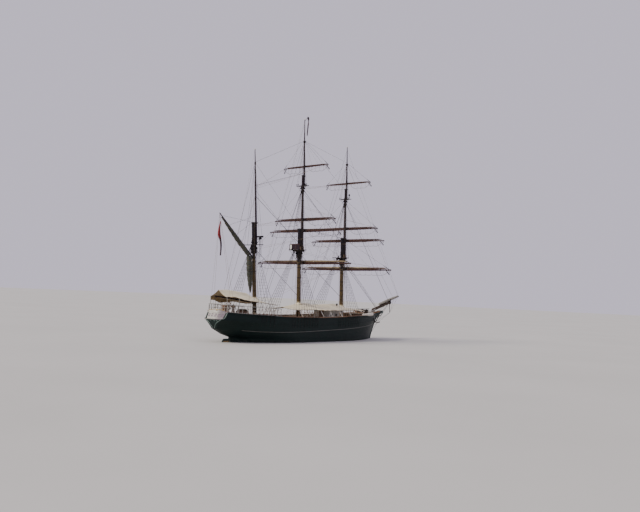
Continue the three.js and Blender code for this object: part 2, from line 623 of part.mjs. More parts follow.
function topmastShaft(mast, grow = 0) {
  const { offset, radii } = TOPMAST;
  const [foot, head] = [upMast(mast, mast.top) + TOP_HALF + FIT - grow, upMast(mast, mast.topmastCap) + 0.1];
  const shaft = rod([offset, 0, foot], [offset, 0, head + grow], radii[0] + grow, radii[1] + grow, 12);
  const trees = upMast(mast, mast.crosstrees) - TOP_HALF - FIT;
  const hounds = rod([offset, 0, trees - 0.8], [offset, 0, trees], radii[1] + grow, radii[1] + 0.12 + grow, 12);
  return shaft.add(hounds);
}

function poleShaft(mast, grow = 0) {
  const [{ offset, radii }, under] = mast.crosstrees
    ? [TOPGALLANT, mast.crosstrees]
    : [MIZZEN_TOPMAST, mast.top];
  const [foot, head] = [upMast(mast, under) + TOP_HALF + FIT - grow, upMast(mast, mast.truck)];
  return rod([offset, 0, foot], [offset, 0, head + grow], radii[0] + grow, radii[1] + grow, 12);
}

// The cap that holds the next mast to this one's head.
function capBlock(height, [x0, x1], half) {
  return box([x0, x1], ends(0, half), ends(height, 0.08));
}

// The crane that carries a yard's pin.
function crane(mast, [, , z, , , pin, own, radius]) {
  const top = upMast(mast, z) - 0.02;
  const arm = box([own, pin], ends(0, 0.04), [top - 0.16, top - 0.08]);
  return arm.add(rod([pin, 0, top - 0.18], [pin, 0, top], pinRadius(radius), pinRadius(radius), 10));
}

const pinRadius = (yardRadius) => (yardRadius > 0.16 ? 0.07 : 0.045);

function cranes(name, sails) {
  return YARDS.filter(([mast, sail]) => mast === name && sails.includes(sail))
    .map((yard) => crane(MASTS[name], yard));
}

function lowerMast(name) {
  const mast = MASTS[name];
  const under = upMast(mast, mast.top) - TOP_HALF - FIT;
  const radius = mast.radii[1] + 0.14;
  const bolster = rod([0, 0, under - 0.25], [0, 0, under], mast.radii[1], radius, 12);
  const next = mast.crosstrees ? topmastShaft(mast, FIT) : poleShaft(mast, FIT);
  const reach = mast.crosstrees ? TOPMAST.offset + 0.27 : MIZZEN_TOPMAST.offset + 0.2;
  const cap = capBlock(upMast(mast, mast.cap), [-0.2, reach], 0.21).subtract(next);
  const pins = name === "mizzen" ? [BOOM, GAFF].map(gooseneck) : cranes(name, ["course"]);
  return joined([lowerShaft(mast), bolster, cap, ...pins]);
}

function topmast(name) {
  const mast = MASTS[name];
  const capX = [TOPMAST.offset - 0.1, TOPGALLANT.offset + 0.17];
  const cap = capBlock(upMast(mast, mast.topmastCap), capX, 0.15).subtract(poleShaft(mast, FIT));
  return joined([topmastShaft(mast), cap, ...cranes(name, ["lower_topsail", "upper_topsail"])]);
}

function pole(name) {
  const mast = MASTS[name];
  const { offset } = mast.crosstrees ? TOPGALLANT : MIZZEN_TOPMAST;
  const head = upMast(mast, mast.truck);
  const truck = turned([offset, 0, head - 0.02], [offset, 0, head + 0.1], [[0, 0.05], [0.3, 0.11], [1, 0.05]]);
  return joined([poleShaft(mast), truck, ...cranes(name, ["topgallant"])]);
}

// A top: a platform on two trestletrees, with room for the mast's head.
function top(name) {
  const mast = MASTS[name];
  const height = upMast(mast, mast.top);
  const shape = new THREE.Shape();
  shape.moveTo(-1.0, -1.1).lineTo(0.3, -1.1).quadraticCurveTo(0.8, -0.9, 0.8, 0);
  shape.quadraticCurveTo(0.8, 0.9, 0.3, 1.1).lineTo(-1.0, 1.1).closePath();
  const floor = new THREE.ExtrudeGeometry(shape, { depth: 2 * TOP_HALF, bevelEnabled: false, curveSegments: 6 });
  const platform = solid(floor.translate(0, 0, height - TOP_HALF));
  const trestles = [-1, 1].map((side) => box(
    [-0.9, 0.72], ends(side * (mast.radii[0] + 0.06), 0.06), [height - 0.25, height],
  ));
  const rail = mast.topRail ? topRail(height, mast.topRail) : [];
  return joined([platform, ...trestles, ...rail]).subtract(lowerShaft(mast, FIT)).subtract(bolsterRoom(mast));
}

// Stanchions and two bars along a top's after edge.
function topRail(floor, rise) {
  const [x, half] = [-0.94, 1.0];
  const posts = [-1, -0.35, 0.35, 1].map((share) => rod(
    [x, share * half, floor], [x, share * half, floor + rise], 0.025, 0.025, 6,
  ));
  const bars = [rise, rise / 2].map((up) => rod(
    [x, -half - 0.02, floor + up], [x, half + 0.02, floor + up], 0.03, 0.03, 6,
  ));
  return [...posts, ...bars];
}

function bolsterRoom(mast) {
  const under = upMast(mast, mast.top) - TOP_HALF;
  return rod([0, 0, under - 0.4], [0, 0, under], mast.radii[1] + 0.15, mast.radii[1] + 0.15, 12);
}

// Crosstrees: bars athwart two trestles, with a seat for the mast above.
function crosstrees(name) {
  const mast = MASTS[name];
  const mizzen = !mast.crosstrees;
  const height = upMast(mast, mizzen ? mast.top : mast.crosstrees);
  const [seat, around, gap] = mizzen
    ? [MIZZEN_TOPMAST.offset, 0, mast.radii[1] + 0.03]
    : [TOPGALLANT.offset, TOPMAST.offset, TOPMAST.radii[1] + 0.03];
  const reach = mizzen ? 1.5 : mast.spread;
  const bars = [around - gap - 0.05, around + gap + 0.05].map((x) => box(
    ends(x, 0.045), ends(0, reach), ends(height, TOP_HALF),
  ));
  const trestles = [-1, 1].map((side) => box(
    [around - gap - 0.2, seat + 0.25], ends(side * (gap + 0.045), 0.045), ends(height, TOP_HALF),
  ));
  const rest = box([around + gap, seat + 0.2], ends(0, gap + 0.02), ends(height, TOP_HALF));
  const shaft = mizzen ? lowerShaft(mast, FIT) : topmastShaft(mast, FIT);
  return joined([...bars, ...trestles, rest]).subtract(shaft);
}

// Yards, each about its pin

function yard([name, , z, half, offset, pin, , radius, roll]) {
  const reach = offset - pin;
  const spar = turned([reach, -half, 0], [reach, half, 0], [
    [0, radius * 0.42], [0.2, radius * 0.8], [0.4, radius], [0.6, radius], [0.8, radius * 0.8], [1, radius * 0.42],
  ], 10);
  const sail = turned([reach + 0.1, -half * 0.93, radius + roll * 0.55], [reach + 0.1, half * 0.93, radius + roll * 0.55], [
    [0, 0.05], [0.04, roll * 0.6], [0.3, roll * 0.85], [0.5, roll * 1.15], [0.7, roll * 0.85], [0.96, roll * 0.6], [1, 0.05],
  ], 10);
  const yoke = box([0, reach], ends(0, pinRadius(radius)), [FIT - 0.02, 0.08]);
  const eye = rod([0, 0, FIT - 0.02], [0, 0, 0.08], pinRadius(radius), pinRadius(radius), 10);
  return joined([spar, sail, yoke, eye]);
}

// The spanker's gear, in the mizzen's frame

const PIN = { radius: 0.08, drop: 0.18 };

function gooseneck({ inner: [x, z] }) {
  const low = z - PIN.drop;
  const arm = box([x, 0], ends(0, 0.05), [low - 0.1, low - 0.02]);
  return arm.add(rod([x, 0, low - 0.12], [x, 0, low], PIN.radius, PIN.radius, 10));
}

function spankerSpar({ inner, outer, radius }, grow = 0) {
  const [from, to] = [[inner[0], 0, inner[1]], [outer[0], 0, outer[1]]];
  const spar = turned(from, to, [[0, radius + grow], [0.5, radius + grow], [1, radius * 0.6 + grow]]);
  const boss = rod([inner[0], 0, inner[1] - PIN.drop + FIT], [inner[0], 0, inner[1] + 0.1], PIN.radius + grow);
  return spar.add(boss);
}

function spanker() {
  const [slope, hang] = [[GAFF.outer[0] - GAFF.inner[0], GAFF.outer[1] - GAFF.inner[1]], 0.3];
  const under = (share) => [
    GAFF.inner[0] + slope[0] * share - hang * 0.7, 0, GAFF.inner[1] + slope[1] * share - hang * 0.7,
  ];
  const brailed = turned(under(0.06), under(0.86), [[0, 0.16], [0.15, 0.27], [0.4, 0.24], [0.7, 0.16], [1, 0.05]]);
  const bunch = turned([-0.98, 0, 9.55], [-0.68, 0, 5.5], [[0, 0.1], [0.1, 0.28], [0.35, 0.25], [0.7, 0.16], [1, 0.07]]);
  return brailed.add(bunch).subtract(spankerSpar(GAFF, FIT));
}

function ensign() {
  const corners = [[-15.95, 15.3], [-15.5, 15.2], [-15.2, 13.2], [-15.12, 11.2], [-15.5, 11.15]];
  const flag = plate(corners.map(([x, z]) => {
    const [lx, , lz] = inMast(MASTS.mizzen, x, z);
    return [lx, lz];
  }), ends(0, 0.05));
  const halyard = rod(
    inMast(MASTS.mizzen, -15.9, 15.2), inMast(MASTS.mizzen, -15.9, 16.4), 0.012, 0.012, 6,
  );
  return flag.add(halyard).subtract(spankerSpar(GAFF, FIT));
}

function radar() {
  const height = upMast(MASTS.mizzen, 13.9);
  const out = 1.25;
  const arm = box([0.5, out + 0.15], ends(0, 0.06), [height - 0.22, height - 0.12]);
  const post = rod([out, 0, height - 0.15], [out, 0, height + 0.1], 0.1);
  const scanner = box(ends(out, 0.08), ends(0, 0.55), [height + 0.08, height + 0.22]);
  return joined([arm, post, scanner]).subtract(poleShaft(MASTS.mizzen, FIT));
}

// The main stays, each cut back to the spars that it joins

function mastShafts(name) {
  const mast = MASTS[name];
  const shafts = [lowerShaft(mast, FIT), poleShaft(mast, FIT)];
  if (mast.crosstrees) shafts.push(topmastShaft(mast, FIT));
  return shafts.map((shaft) => atRake(mast, shaft));
}

function stayLine([, upper, z, offset, lower, end], radius) {
  const to = lower ? onMast(MASTS[lower], end) : bowspritPoint(...end);
  return rod(onMast(MASTS[upper], z, offset), to, radius, radius, 6);
}

function stay(line) {
  const [, upper, , , lower, end] = line;
  const bow = lower ? mastShafts(lower) : [end[1] ? jibboom(FIT) : grownBowsprit()];
  return [...mastShafts(upper), ...bow].reduce((left, spar) => left.subtract(spar), stayLine(line, STAY_RADIUS));
}

function grownBowsprit() {
  const { heel, cap, radius } = BOWSPRIT;
  return rod(bowspritPoint(heel[0]), bowspritPoint(cap), radius + FIT, radius * 0.75 + FIT, 12);
}

function bobstay() {
  const wire = rod([17.42, 0, 0.5], bowspritPoint(22.5), STAY_RADIUS, STAY_RADIUS, 6);
  return wire.subtract(grownBowsprit()).subtract(keel().translate([1.5 * FIT, 0, -FIT]));
}

// The ship, piece by piece

const ship = new THREE.Group();
ship.scale.setScalar(MODEL_MM);

function add(parent, name, made, finish) {
  const [color, roughness, metalness] = FINISH[finish];
  const mesh = new THREE.Mesh(
    geometryOf(made), new THREE.MeshStandardMaterial({ color, roughness, metalness }),
  );
  mesh.name = name;
  parent.add(mesh);
}

const SIDES = [["port", 1], ["starboard", -1]];
const poopAwning = awning(POOP_AWNING, mastHole(MASTS.mizzen, 5.8));
const mainAwning = awning(MAIN_AWNING, mastHole(MASTS.main, 5.3));
const foreAwning = awning(FORE_AWNING, mastHole(MASTS.fore, 5.1));

for (const [name, made, finish] of [
  ["hull", hull(), "hull"],
  ["keel", keel(), "keel"],
  ["poop", poop(), "hull"],
  ["forecastle", raisedDeck([FORECASTLE_BREAK, BOW]), "hull"],
  ["deckhouse", deckhouse(), "white"],
  ["deckhouse_roof", deckhouseRoof(), "deck"],
  ["deckhouse_door", deckhouseDoor(), "teak"],
  ["main_hatch", mainHatch(), "teak"],
  ["windlass", windlass(), "iron"],
  ["binnacle", binnacle(), "bronze"],
  ["wheel_box", wheelBox(), "teak"],
  ["steering_wheel", steeringWheel(), "teak"],
  ["rudder", rudder(), "hull"],
  ["propeller", propeller(), "bronze"],
  ["bowsprit", bowsprit(), "buff"],
  ["jibboom", jibboom(), "spar"],
  ["headsail", headsail(), "canvas"],
  ["staysail", staysail(), "canvas"],
  ["poop_awning", poopAwning, "canvas"],
  ["main_awning", mainAwning, "canvas"],
  ["fore_awning", foreAwning, "canvas"],
  ["bobstay", bobstay(), "wire"],
]) add(ship, name, made, finish);

for (const [word, side] of SIDES) {
  add(ship, `bulwark_${word}`, bulwark(side), "hull");
  add(ship, `poop_rail_${word}`, poopRail(side), "white");
  const bow = [FORECASTLE_BREAK, BOW - 2];
  add(ship, `forecastle_rail_${word}`, openRail(bow, side, RAIL_HEIGHT.forecastle, 7), "white");
}

for (const line of STAYS) add(ship, line[0], stay(line), "wire");

for (const [name, mast] of Object.entries(MASTS)) {
  const group = new THREE.Group();
  group.position.set(mast.x, 0, DATUM);
  group.rotation.y = -mast.rake * DEG;
  ship.add(group);
  add(group, `${name}_lower_mast`, lowerMast(name), "buff");
  if (name === "mizzen") {
    add(group, "mizzen_topmast", pole(name), "spar");
    add(group, "mizzen_crosstrees", crosstrees(name), "iron");
    add(group, "spanker_boom", spankerSpar(BOOM), "spar");
    add(group, "spanker_gaff", spankerSpar(GAFF), "spar");
    add(group, "spanker", spanker(), "canvas");
    add(group, "ensign", ensign(), "red");
    add(group, "radar", radar(), "white");
  } else {
    add(group, `${name}_topmast`, topmast(name), "buff");
    add(group, `${name}_topgallant_mast`, pole(name), "spar");
    add(group, `${name}_top`, top(name), "teak");
    add(group, `${name}_crosstrees`, crosstrees(name), "iron");
  }
  for (const line of YARDS.filter(([owner]) => owner === name)) {
    const pivot = new THREE.Group();
    pivot.position.set(line[5], 0, upMast(mast, line[2]));
    group.add(pivot);
    add(pivot, `${name}_${line[1]}_yard`, yard(line), "spar");
  }
}

export default ship;
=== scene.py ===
# Looks of the half-size three-masted barque: her hull, rig, furled sails and spread awnings.
# Every size is the full-size ship's, in metres, as in the part's source, and MODEL scales it.
# X runs forward, Y to port and Z up, from the waterline.
from collections import namedtuple
from math import copysign, cos, pi, radians, sin, tau

import bmesh
import bpy
from mathutils import Matrix, Vector, noise


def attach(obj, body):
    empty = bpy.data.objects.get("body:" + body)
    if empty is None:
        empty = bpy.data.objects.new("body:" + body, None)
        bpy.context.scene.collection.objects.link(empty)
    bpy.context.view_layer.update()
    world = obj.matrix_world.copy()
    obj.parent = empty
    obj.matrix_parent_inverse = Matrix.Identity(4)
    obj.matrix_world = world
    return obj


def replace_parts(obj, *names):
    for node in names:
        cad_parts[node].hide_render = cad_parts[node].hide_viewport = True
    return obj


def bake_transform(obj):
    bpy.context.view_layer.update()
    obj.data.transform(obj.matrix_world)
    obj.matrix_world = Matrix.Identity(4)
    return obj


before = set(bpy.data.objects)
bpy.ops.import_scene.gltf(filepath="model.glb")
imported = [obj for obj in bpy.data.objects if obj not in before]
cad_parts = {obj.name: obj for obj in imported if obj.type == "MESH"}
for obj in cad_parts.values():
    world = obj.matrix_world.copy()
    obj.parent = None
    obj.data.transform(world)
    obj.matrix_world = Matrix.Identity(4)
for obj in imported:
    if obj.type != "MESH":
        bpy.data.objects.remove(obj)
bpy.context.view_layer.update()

MODEL = 0.5
SIDES = {"port": 1, "starboard": -1}
UP, ACROSS = Vector((0, 0, 1)), Vector((0, 1, 0))
WELD = 1e-5  # points nearer than this are one point
AFT_END, FORE_END = -16.3, 18.55  # the deck's and rail's ends
SHEER_AFT, SHEER_FORE = 0.55, 0.8  # how far the deck rises to its ends
DECK_HEIGHT = 2.45  # of the waist, where the sheer is lowest


# Materials

def operator(operation, reflected=False):
    """One of Python's operators, which adds a Math node to a material."""
    def add_node(*values):
        return values[0].finish.maths(operation, *(values[::-1] if reflected else values))
    return add_node


class Wire:
    """A number that runs through a material, on which Python's operators add Math nodes."""

    def __init__(self, finish, socket):
        self.finish = finish
        self.socket = socket

    __add__ = __radd__ = operator("ADD")
    __sub__ = operator("SUBTRACT")
    __rsub__ = operator("SUBTRACT", reflected=True)
    __mul__ = __rmul__ = operator("MULTIPLY")
    __truediv__ = operator("DIVIDE")
    __pow__ = operator("POWER")
    __gt__ = operator("GREATER_THAN")
    __lt__ = operator("LESS_THAN")
    __abs__ = operator("ABSOLUTE")
    fraction = operator("FRACT")
    floor = operator("FLOOR")
    sine = operator("SINE")

    def ramp(self, low, high):
        """0 up to low, 1 from high, and smooth between."""
        settings = {"interpolation_type": "SMOOTHSTEP"}
        return self.finish.node(
            "ShaderNodeMapRange", settings, {"Value": self, "From Min": low, "From Max": high}
        )


class Finish:
    """A material of nodes. Its x, y and z are the ship's full-size metres in the piece's own frame."""

    def __init__(self, name, **constants):
        self.material = bpy.data.materials.new(name)
        self.material.use_nodes = True
        self.tree = self.material.node_tree
        self.shader = self.tree.nodes["Principled BSDF"]
        for socket, value in constants.items():
            self.shader.inputs[socket.replace("_", " ")].default_value = value
        self.own = self.node("ShaderNodeTexCoord", output="Object")
        self.place = self.stretched_place()
        self.x, self.y, self.z = (
            self.node("ShaderNodeSeparateXYZ", {}, {"Vector": self.place}, output=axis) for axis in "XYZ"
        )

    def node(self, kind, settings=(), inputs=(), output=0):
        """Adds a node: its settings first, then the values or links of its sockets."""
        made = self.tree.nodes.new(kind)
        for key, value in dict(settings).items():
            if key == "stops":
                ramp = made.color_ramp
                while len(ramp.elements) < len(value):
                    ramp.elements.new(1.0)
                for stop, (position, colour) in zip(ramp.elements, value):
                    stop.position, stop.color = position, (*colour, 1.0)
            else:
                setattr(made, key, value)
        for key, value in dict(inputs).items():
            if isinstance(value, Wire):
                self.tree.links.new(value.socket, made.inputs[key])
            else:
                made.inputs[key].default_value = value
        return Wire(self, made.outputs[output])

    def maths(self, operation, *values):
        return self.node("ShaderNodeMath", {"operation": operation}, enumerate(values))

    def stretched_place(self, scale=(1, 1, 1)):
        """The place in full-size metres, stretched for a pattern."""
        whole = tuple(value / MODEL for value in scale)
        return self.node("ShaderNodeMapping", {}, {"Vector": self.own, "Scale": whole})

    def speckle(self, scale, detail=4.0, stretch=(1, 1, 1), roughness=0.55):
        """Noise from 0 to 1, of a scale in features to the metre."""
        where = self.stretched_place(stretch) if stretch != (1, 1, 1) else self.place
        inputs = {"Vector": where, "Scale": scale, "Detail": detail, "Roughness": roughness}
        return self.node("ShaderNodeTexNoise", {}, inputs, output="Fac")

    def mix(self, share, one, other):
        """One colour blended into another by a share from 0 to 1."""
        colours = {6: one if isinstance(one, Wire) else (*one, 1.0)}
        colours[7] = other if isinstance(other, Wire) else (*other, 1.0)
        return self.node("ShaderNodeMix", {"data_type": "RGBA"}, {0: share, **colours}, output=2)

    def gradient(self, value, *stops):
        return self.node("ShaderNodeValToRGB", {"stops": stops}, {"Fac": value})

    def finish(self, colour, roughness, height=None, depth=0.01, coat=None):
        """Joins the colour, roughness and bump to the shader. Depth is the bump's height in metres."""
        self.tree.links.new(colour.socket, self.shader.inputs["Base Color"])
        for socket, value in (("Roughness", roughness), ("Coat Weight", coat)):
            if isinstance(value, Wire):
                self.tree.links.new(value.socket, self.shader.inputs[socket])
            elif value is not None:
                self.shader.inputs[socket].default_value = value
        if height is not None:
            bump = self.node(
                "ShaderNodeBump", {}, {"Height": height, "Distance": depth * MODEL}, output="Normal"
            )
            self.tree.links.new(bump.socket, self.shader.inputs["Normal"])
        return self.material


def seams(value, spacing, width):
    """1 in the narrow seams between boards of a spacing, and 0 on the boards."""
    across = abs((value / spacing).fraction() - 0.5) * 2
    return across.ramp(1 - 2 * width / spacing, 1 - 0.6 * width / spacing)


def streaks(finish, scale, run, low, high):
    """Long weather streaks: noise stretched along one axis, kept where it is strong."""
    return finish.speckle(scale, 5.0, run).ramp(low, high)


RED_LEAD = ((0.3, (0.1, 0.03, 0.02)), (0.75, (0.2, 0.07, 0.045)))


def hull_paint():
    """Dark paint on planks that follow the sheer, rusted and salted, with the red bottom's edge."""
    paint = Finish("dark_hull_paint", Specular_IOR_Level=0.2)
    aft = (paint.x / -AFT_END) ** 2 * SHEER_AFT * (paint.x < 0)
    fore = abs(paint.x / FORE_END) ** 1.5 * SHEER_FORE * (paint.x > 0)
    run = paint.z - (aft + fore) * (paint.z / DECK_HEIGHT).ramp(0.0, 1.0)
    plank = seams(run, 0.2, 0.012)
    mottle = paint.speckle(1.4, 6.0)
    green = paint.gradient(mottle, (0.3, (0.0015, 0.008, 0.007)), (0.7, (0.004, 0.015, 0.0125)))
    rust = streaks(paint, 2.2, (1.0, 1.0, 0.12), 0.62, 0.78) * (paint.z / 3).ramp(0.0, 0.6)
    tinted = paint.mix(rust * 0.3, green, (0.04, 0.022, 0.012))
    salt = (1 - abs(paint.z - 0.22) / 0.3).ramp(0.0, 1.0) * paint.speckle(3.0).ramp(0.4, 0.65)
    dusty = paint.mix(salt * 0.3, tinted, (0.07, 0.085, 0.07))
    under = paint.gradient(paint.speckle(2.5, 6.0), *RED_LEAD)
    below = paint.mix((paint.z + mottle * 0.04 - 0.02 < 0.0), dusty, under)
    seamed = paint.mix(plank * 0.6, below, (0.004, 0.006, 0.006))
    rough = mottle * 0.2 + 0.42 + salt * 0.2
    return paint.finish(seamed, rough, paint.speckle(9.0) * 0.25 - plank, 0.012)


def bottom_paint():
    paint = Finish("bottom_paint")
    worn = paint.speckle(2.5, 6.0)
    colour = paint.gradient(worn, *RED_LEAD)
    above = paint.mix((paint.z + worn * 0.04 - 0.02 > 0.0), colour, (0.01, 0.026, 0.022))
    return paint.finish(above, worn * 0.3 + 0.5, paint.speckle(12.0), 0.008)


def white_paint(name, brightness_in_painted_shade=1.0, shaded=None):
    """White paint at a share of its full brightness, a share under 1 being painted shade, and darkened
    between two places across the ship if shaded, also painted shade.
    """
    paint = Finish(name)
    worn = paint.speckle(3.0, 6.0)
    # painted shade: a brightness share under 1 dims the whole white
    dull, bright = (Vector(colour) * brightness_in_painted_shade for colour in ((0.58, 0.56, 0.49), (0.76, 0.75, 0.69)))
    colour = paint.gradient(worn, (0.25, dull), (0.6, bright))
    # painted shade: darker towards a tone between two places across the ship
    if shaded:
        none, full, tone = shaded
        colour = paint.mix(((paint.y - none) / (full - none)).ramp(0.0, 1.0) * 0.85, colour, tone)
    runs = streaks(paint, 5.0, (1.0, 1.0, 0.15), 0.58, 0.8)
    dirty = paint.mix(runs * 0.35, colour, (0.3, 0.22, 0.14))
    return paint.finish(dirty, worn * 0.2 + 0.42, paint.speckle(25.0), 0.004)


def grain(name, axis, dark, light, seam=None, gloss=0.45, coat=0.0, shine=0.5):
    """Wood with its grain along an axis. A seam is an axis across its boards, their spacing and its width."""
    wood = Finish(name, Coat_Roughness=0.3, Specular_IOR_Level=shine)
    thin, wide = (tuple(along if letter == axis else 1.0 for letter in "xyz") for along in (0.08, 0.3))
    fine = wood.speckle(26.0, 8.0, thin, 0.65)
    broad = wood.speckle(2.2, 4.0, wide)
    colour = wood.gradient(fine * 0.65 + broad * 0.35, (0.32, dark), (0.68, light))
    height = fine * 0.4
    if seam:
        across, spacing, width = seam
        value = getattr(wood, across)
        board = (value / spacing + 0.5).floor()
        tone = wood.node("ShaderNodeTexWhiteNoise", {"noise_dimensions": "1D"}, {"W": board}, output="Value")
        toned = wood.mix(tone * 0.35, colour, dark)
        line = seams(value + spacing / 2, spacing, width)
        colour = wood.mix(line, toned, (0.02, 0.017, 0.014))
        height = height - line
    worn = wood.speckle(1.1, 5.0).ramp(0.55, 0.8)
    faded = wood.mix(worn * 0.25, colour, tuple(1.3 * value + 0.01 for value in light))
    return wood.finish(faded, fine * 0.25 + gloss, height, 0.006, coat)


def buff_paint():
    paint = Finish("buff_mast_paint", Coat_Roughness=0.35, Specular_IOR_Level=0.25)
    worn = paint.speckle(2.0, 6.0)
    colour = paint.gradient(worn, (0.3, (0.05, 0.033, 0.012)), (0.7, (0.1, 0.064, 0.024)))
    runs = streaks(paint, 7.0, (1.0, 1.0, 0.1), 0.55, 0.75)
    dirty = paint.mix(runs * 0.5, colour, (0.025, 0.02, 0.012))
    return paint.finish(dirty, worn * 0.25 + 0.4, paint.speckle(14.0, 5.0, (1, 1, 0.2)), 0.005, 0.08)


def metal(name, scale, stops, wear, gloss, casting, depth, **constants):
    """Metal worn in patches of a scale, with the fine roughness of its casting."""
    base = Finish(name, **constants)
    worn = base.speckle(scale, 6.0)
    return base.finish(base.gradient(worn, *stops), worn * wear + gloss, base.speckle(casting), depth)


THREADS = 90.0  # of canvas, shown coarser than real ones


def canvas(name, dark, light, stain, across, spacing=0.6, sheen=0.25, shades=()):
    """Canvas sewn of cloths of a spacing: weave, flat seams, stains and folds.
    Each of its shades is an axis, the two places between which it comes in, its strength and its tone."""
    cloth = Finish(name, Sheen_Weight=sheen, Sheen_Roughness=0.6)
    worn = cloth.speckle(0.9, 6.0)
    warp, weft = (((axis + cloth.z) * THREADS * tau / 4).sine() for axis in (cloth.x, cloth.y))
    lap = seams(getattr(cloth, across), spacing, 0.03)
    colour = cloth.gradient(worn, (0.3, dark), (0.65, light))
    tinted = cloth.mix(cloth.speckle(0.6, 8.0).ramp(0.56, 0.8) * 0.55, colour, stain)
    # each shade darkens the cloth towards its tone between two places along an axis; under the courses' rolls
    # this is painted shade
    for axis, none, full, strength, tone in shades:
        share = ((getattr(cloth, axis) - none) / (full - none)).ramp(0.0, 1.0)
        tinted = cloth.mix(share * strength, tinted, tone)
    lapped = cloth.mix(lap * 0.4, tinted, dark)
    folds = cloth.speckle(3.5, 3.0)
    height = warp * weft * 0.04 + lap * 0.25 + folds * 0.7
    return cloth.finish(lapped, worn * 0.15 + 0.75, height, 0.02)


def laid_rope(name, twists, dark, light, wear, dull, groove_shade=None, **constants):
    """Rope with its lay in diagonal ridges, and painted shade in the grooves between them if a tone for it is
    given.
    """
    rope = Finish(name, **constants)
    lay = ((rope.x + rope.y + rope.z) * twists).sine()
    worn = rope.speckle(6.0, 4.0)
    colour = rope.gradient(worn, (0.3, dark), (0.7, light))
    if groove_shade:
        # painted shade: the rope darkens towards the groove's tone in bands along its lay
        colour = rope.mix(lay * 0.25 + 0.25, colour, groove_shade)
    return rope.finish(colour, worn * wear + dull, lay, 0.004)


def bunting(name, dark, light, shade=None):
    cloth = Finish(name, Sheen_Weight=0.3)
    worn = cloth.speckle(2.0, 5.0)
    threads = (cloth.x * 420.0).sine() * (cloth.z * 420.0).sine()
    colour = cloth.gradient(worn, (0.3, dark), (0.7, light))
    if shade:
        height, tone = shade
        colour = cloth.mix((height - cloth.z).ramp(-0.25, 0.35), colour, tone)
    return cloth.finish(colour, worn * 0.1 + 0.75, threads * 0.1 + cloth.speckle(5.0), 0.01)


def window_glass(name, dark, light):
    pane = Finish(name, Specular_IOR_Level=0.7)
    waves = pane.speckle(2.5, 2.0)
    colour = pane.gradient(waves, (0.3, dark), (0.7, light))
    return pane.finish(colour, waves * 0.06 + 0.05, waves, 0.01)


HULL_PAINT = hull_paint()
BOTTOM = bottom_paint()
WHITE = white_paint("weathered_white_paint")
# painted shade: the white dimmed to 0.42 of its brightness, for the open rails and the jib-boom's end
RAIL_WHITE = white_paint("white_paint_in_painted_shade", 0.42)
# painted shade: the stern's white dimmed to 0.72 of its brightness and darkened towards starboard
STERN_WHITE = white_paint("stern_white_in_painted_shade", 0.72, (0.25, -1.0, (0.12, 0.09, 0.12)))
# painted shade: the white line dimmed to 0.2 of the white's brightness
LINE_PAINT = white_paint("line_paint_in_painted_shade", 0.2)
DECKING = grain("holystoned_deck", "x", (0.25, 0.19, 0.12), (0.46, 0.38, 0.27), ("y", 0.14, 0.012), 0.6)
TEAK = grain("oiled_hardwood", "x", (0.1, 0.045, 0.02), (0.24, 0.12, 0.055), None, 0.4, 0.2)
BOARDING = grain(
    "bulkhead_boards", "z", (0.1, 0.045, 0.02), (0.22, 0.11, 0.05), ("y", 0.16, 0.012), 0.42, 0.15
)
MAST_WOOD = grain("dark_mast", "z", (0.009, 0.004, 0.009), (0.022, 0.009, 0.018), None, 0.55, 0.0, 0.2)
YARD_WOOD = grain("dark_yard", "y", (0.022, 0.006, 0.006), (0.055, 0.017, 0.012), None, 0.55, 0.0, 0.25)
BROWN_SPAR = grain("brown_spar", "x", (0.035, 0.022, 0.012), (0.08, 0.052, 0.03), None, 0.5, 0.05, 0.25)
MASTHEAD_BLACK = grain(
    "blacked_masthead", "z", (0.006, 0.005, 0.009), (0.016, 0.013, 0.02), None, 0.55, 0.0, 0.15
)
BLACK_BOARDS = grain(
    "blacked_boards", "z", (0.008, 0.005, 0.006), (0.024, 0.014, 0.013), ("y", 0.16, 0.012), 0.55, 0.0, 0.2
)
BUFF = buff_paint()
IRON = metal("black_ironwork", 9.0, (
    (0.35, (0.01, 0.009, 0.01)), (0.62, (0.028, 0.022, 0.021)), (0.78, (0.09, 0.04, 0.02)),
), 0.3, 0.4, 40.0, 0.003, Metallic=0.2, Specular_IOR_Level=0.25)
BRONZE = metal("weathered_bronze", 7.0, (
    (0.35, (0.5, 0.31, 0.11)), (0.62, (0.3, 0.19, 0.08)), (0.8, (0.12, 0.2, 0.14)),
), 0.35, 0.2, 30.0, 0.002, Metallic=0.85)
SCROLL, GILT = (
    metal(name, 8.0, ((0.3, dark), (0.7, light)), 0.2, 0.35, 30.0, 0.004, Metallic=0.25)
    for name, dark, light in (
        ("grey_scrollwork", (0.07, 0.11, 0.1), (0.15, 0.2, 0.18)),
        ("ochre_scrollwork", (0.3, 0.19, 0.06), (0.5, 0.35, 0.13)),
    )
)
AWNING_TOP = canvas("awning_top", (0.48, 0.42, 0.27), (0.68, 0.61, 0.42), (0.36, 0.31, 0.2), "x", 0.75)
# painted light: the underside's darker ochre stands for the canvas's shaded side with the sun glowing through
# it
AWNING_UNDER = canvas(
    "awning_underside_painted_glow", (0.34, 0.24, 0.09), (0.48, 0.35, 0.15), (0.22, 0.15, 0.06), "x", 0.75
)
COURSE_CLOTH = {}
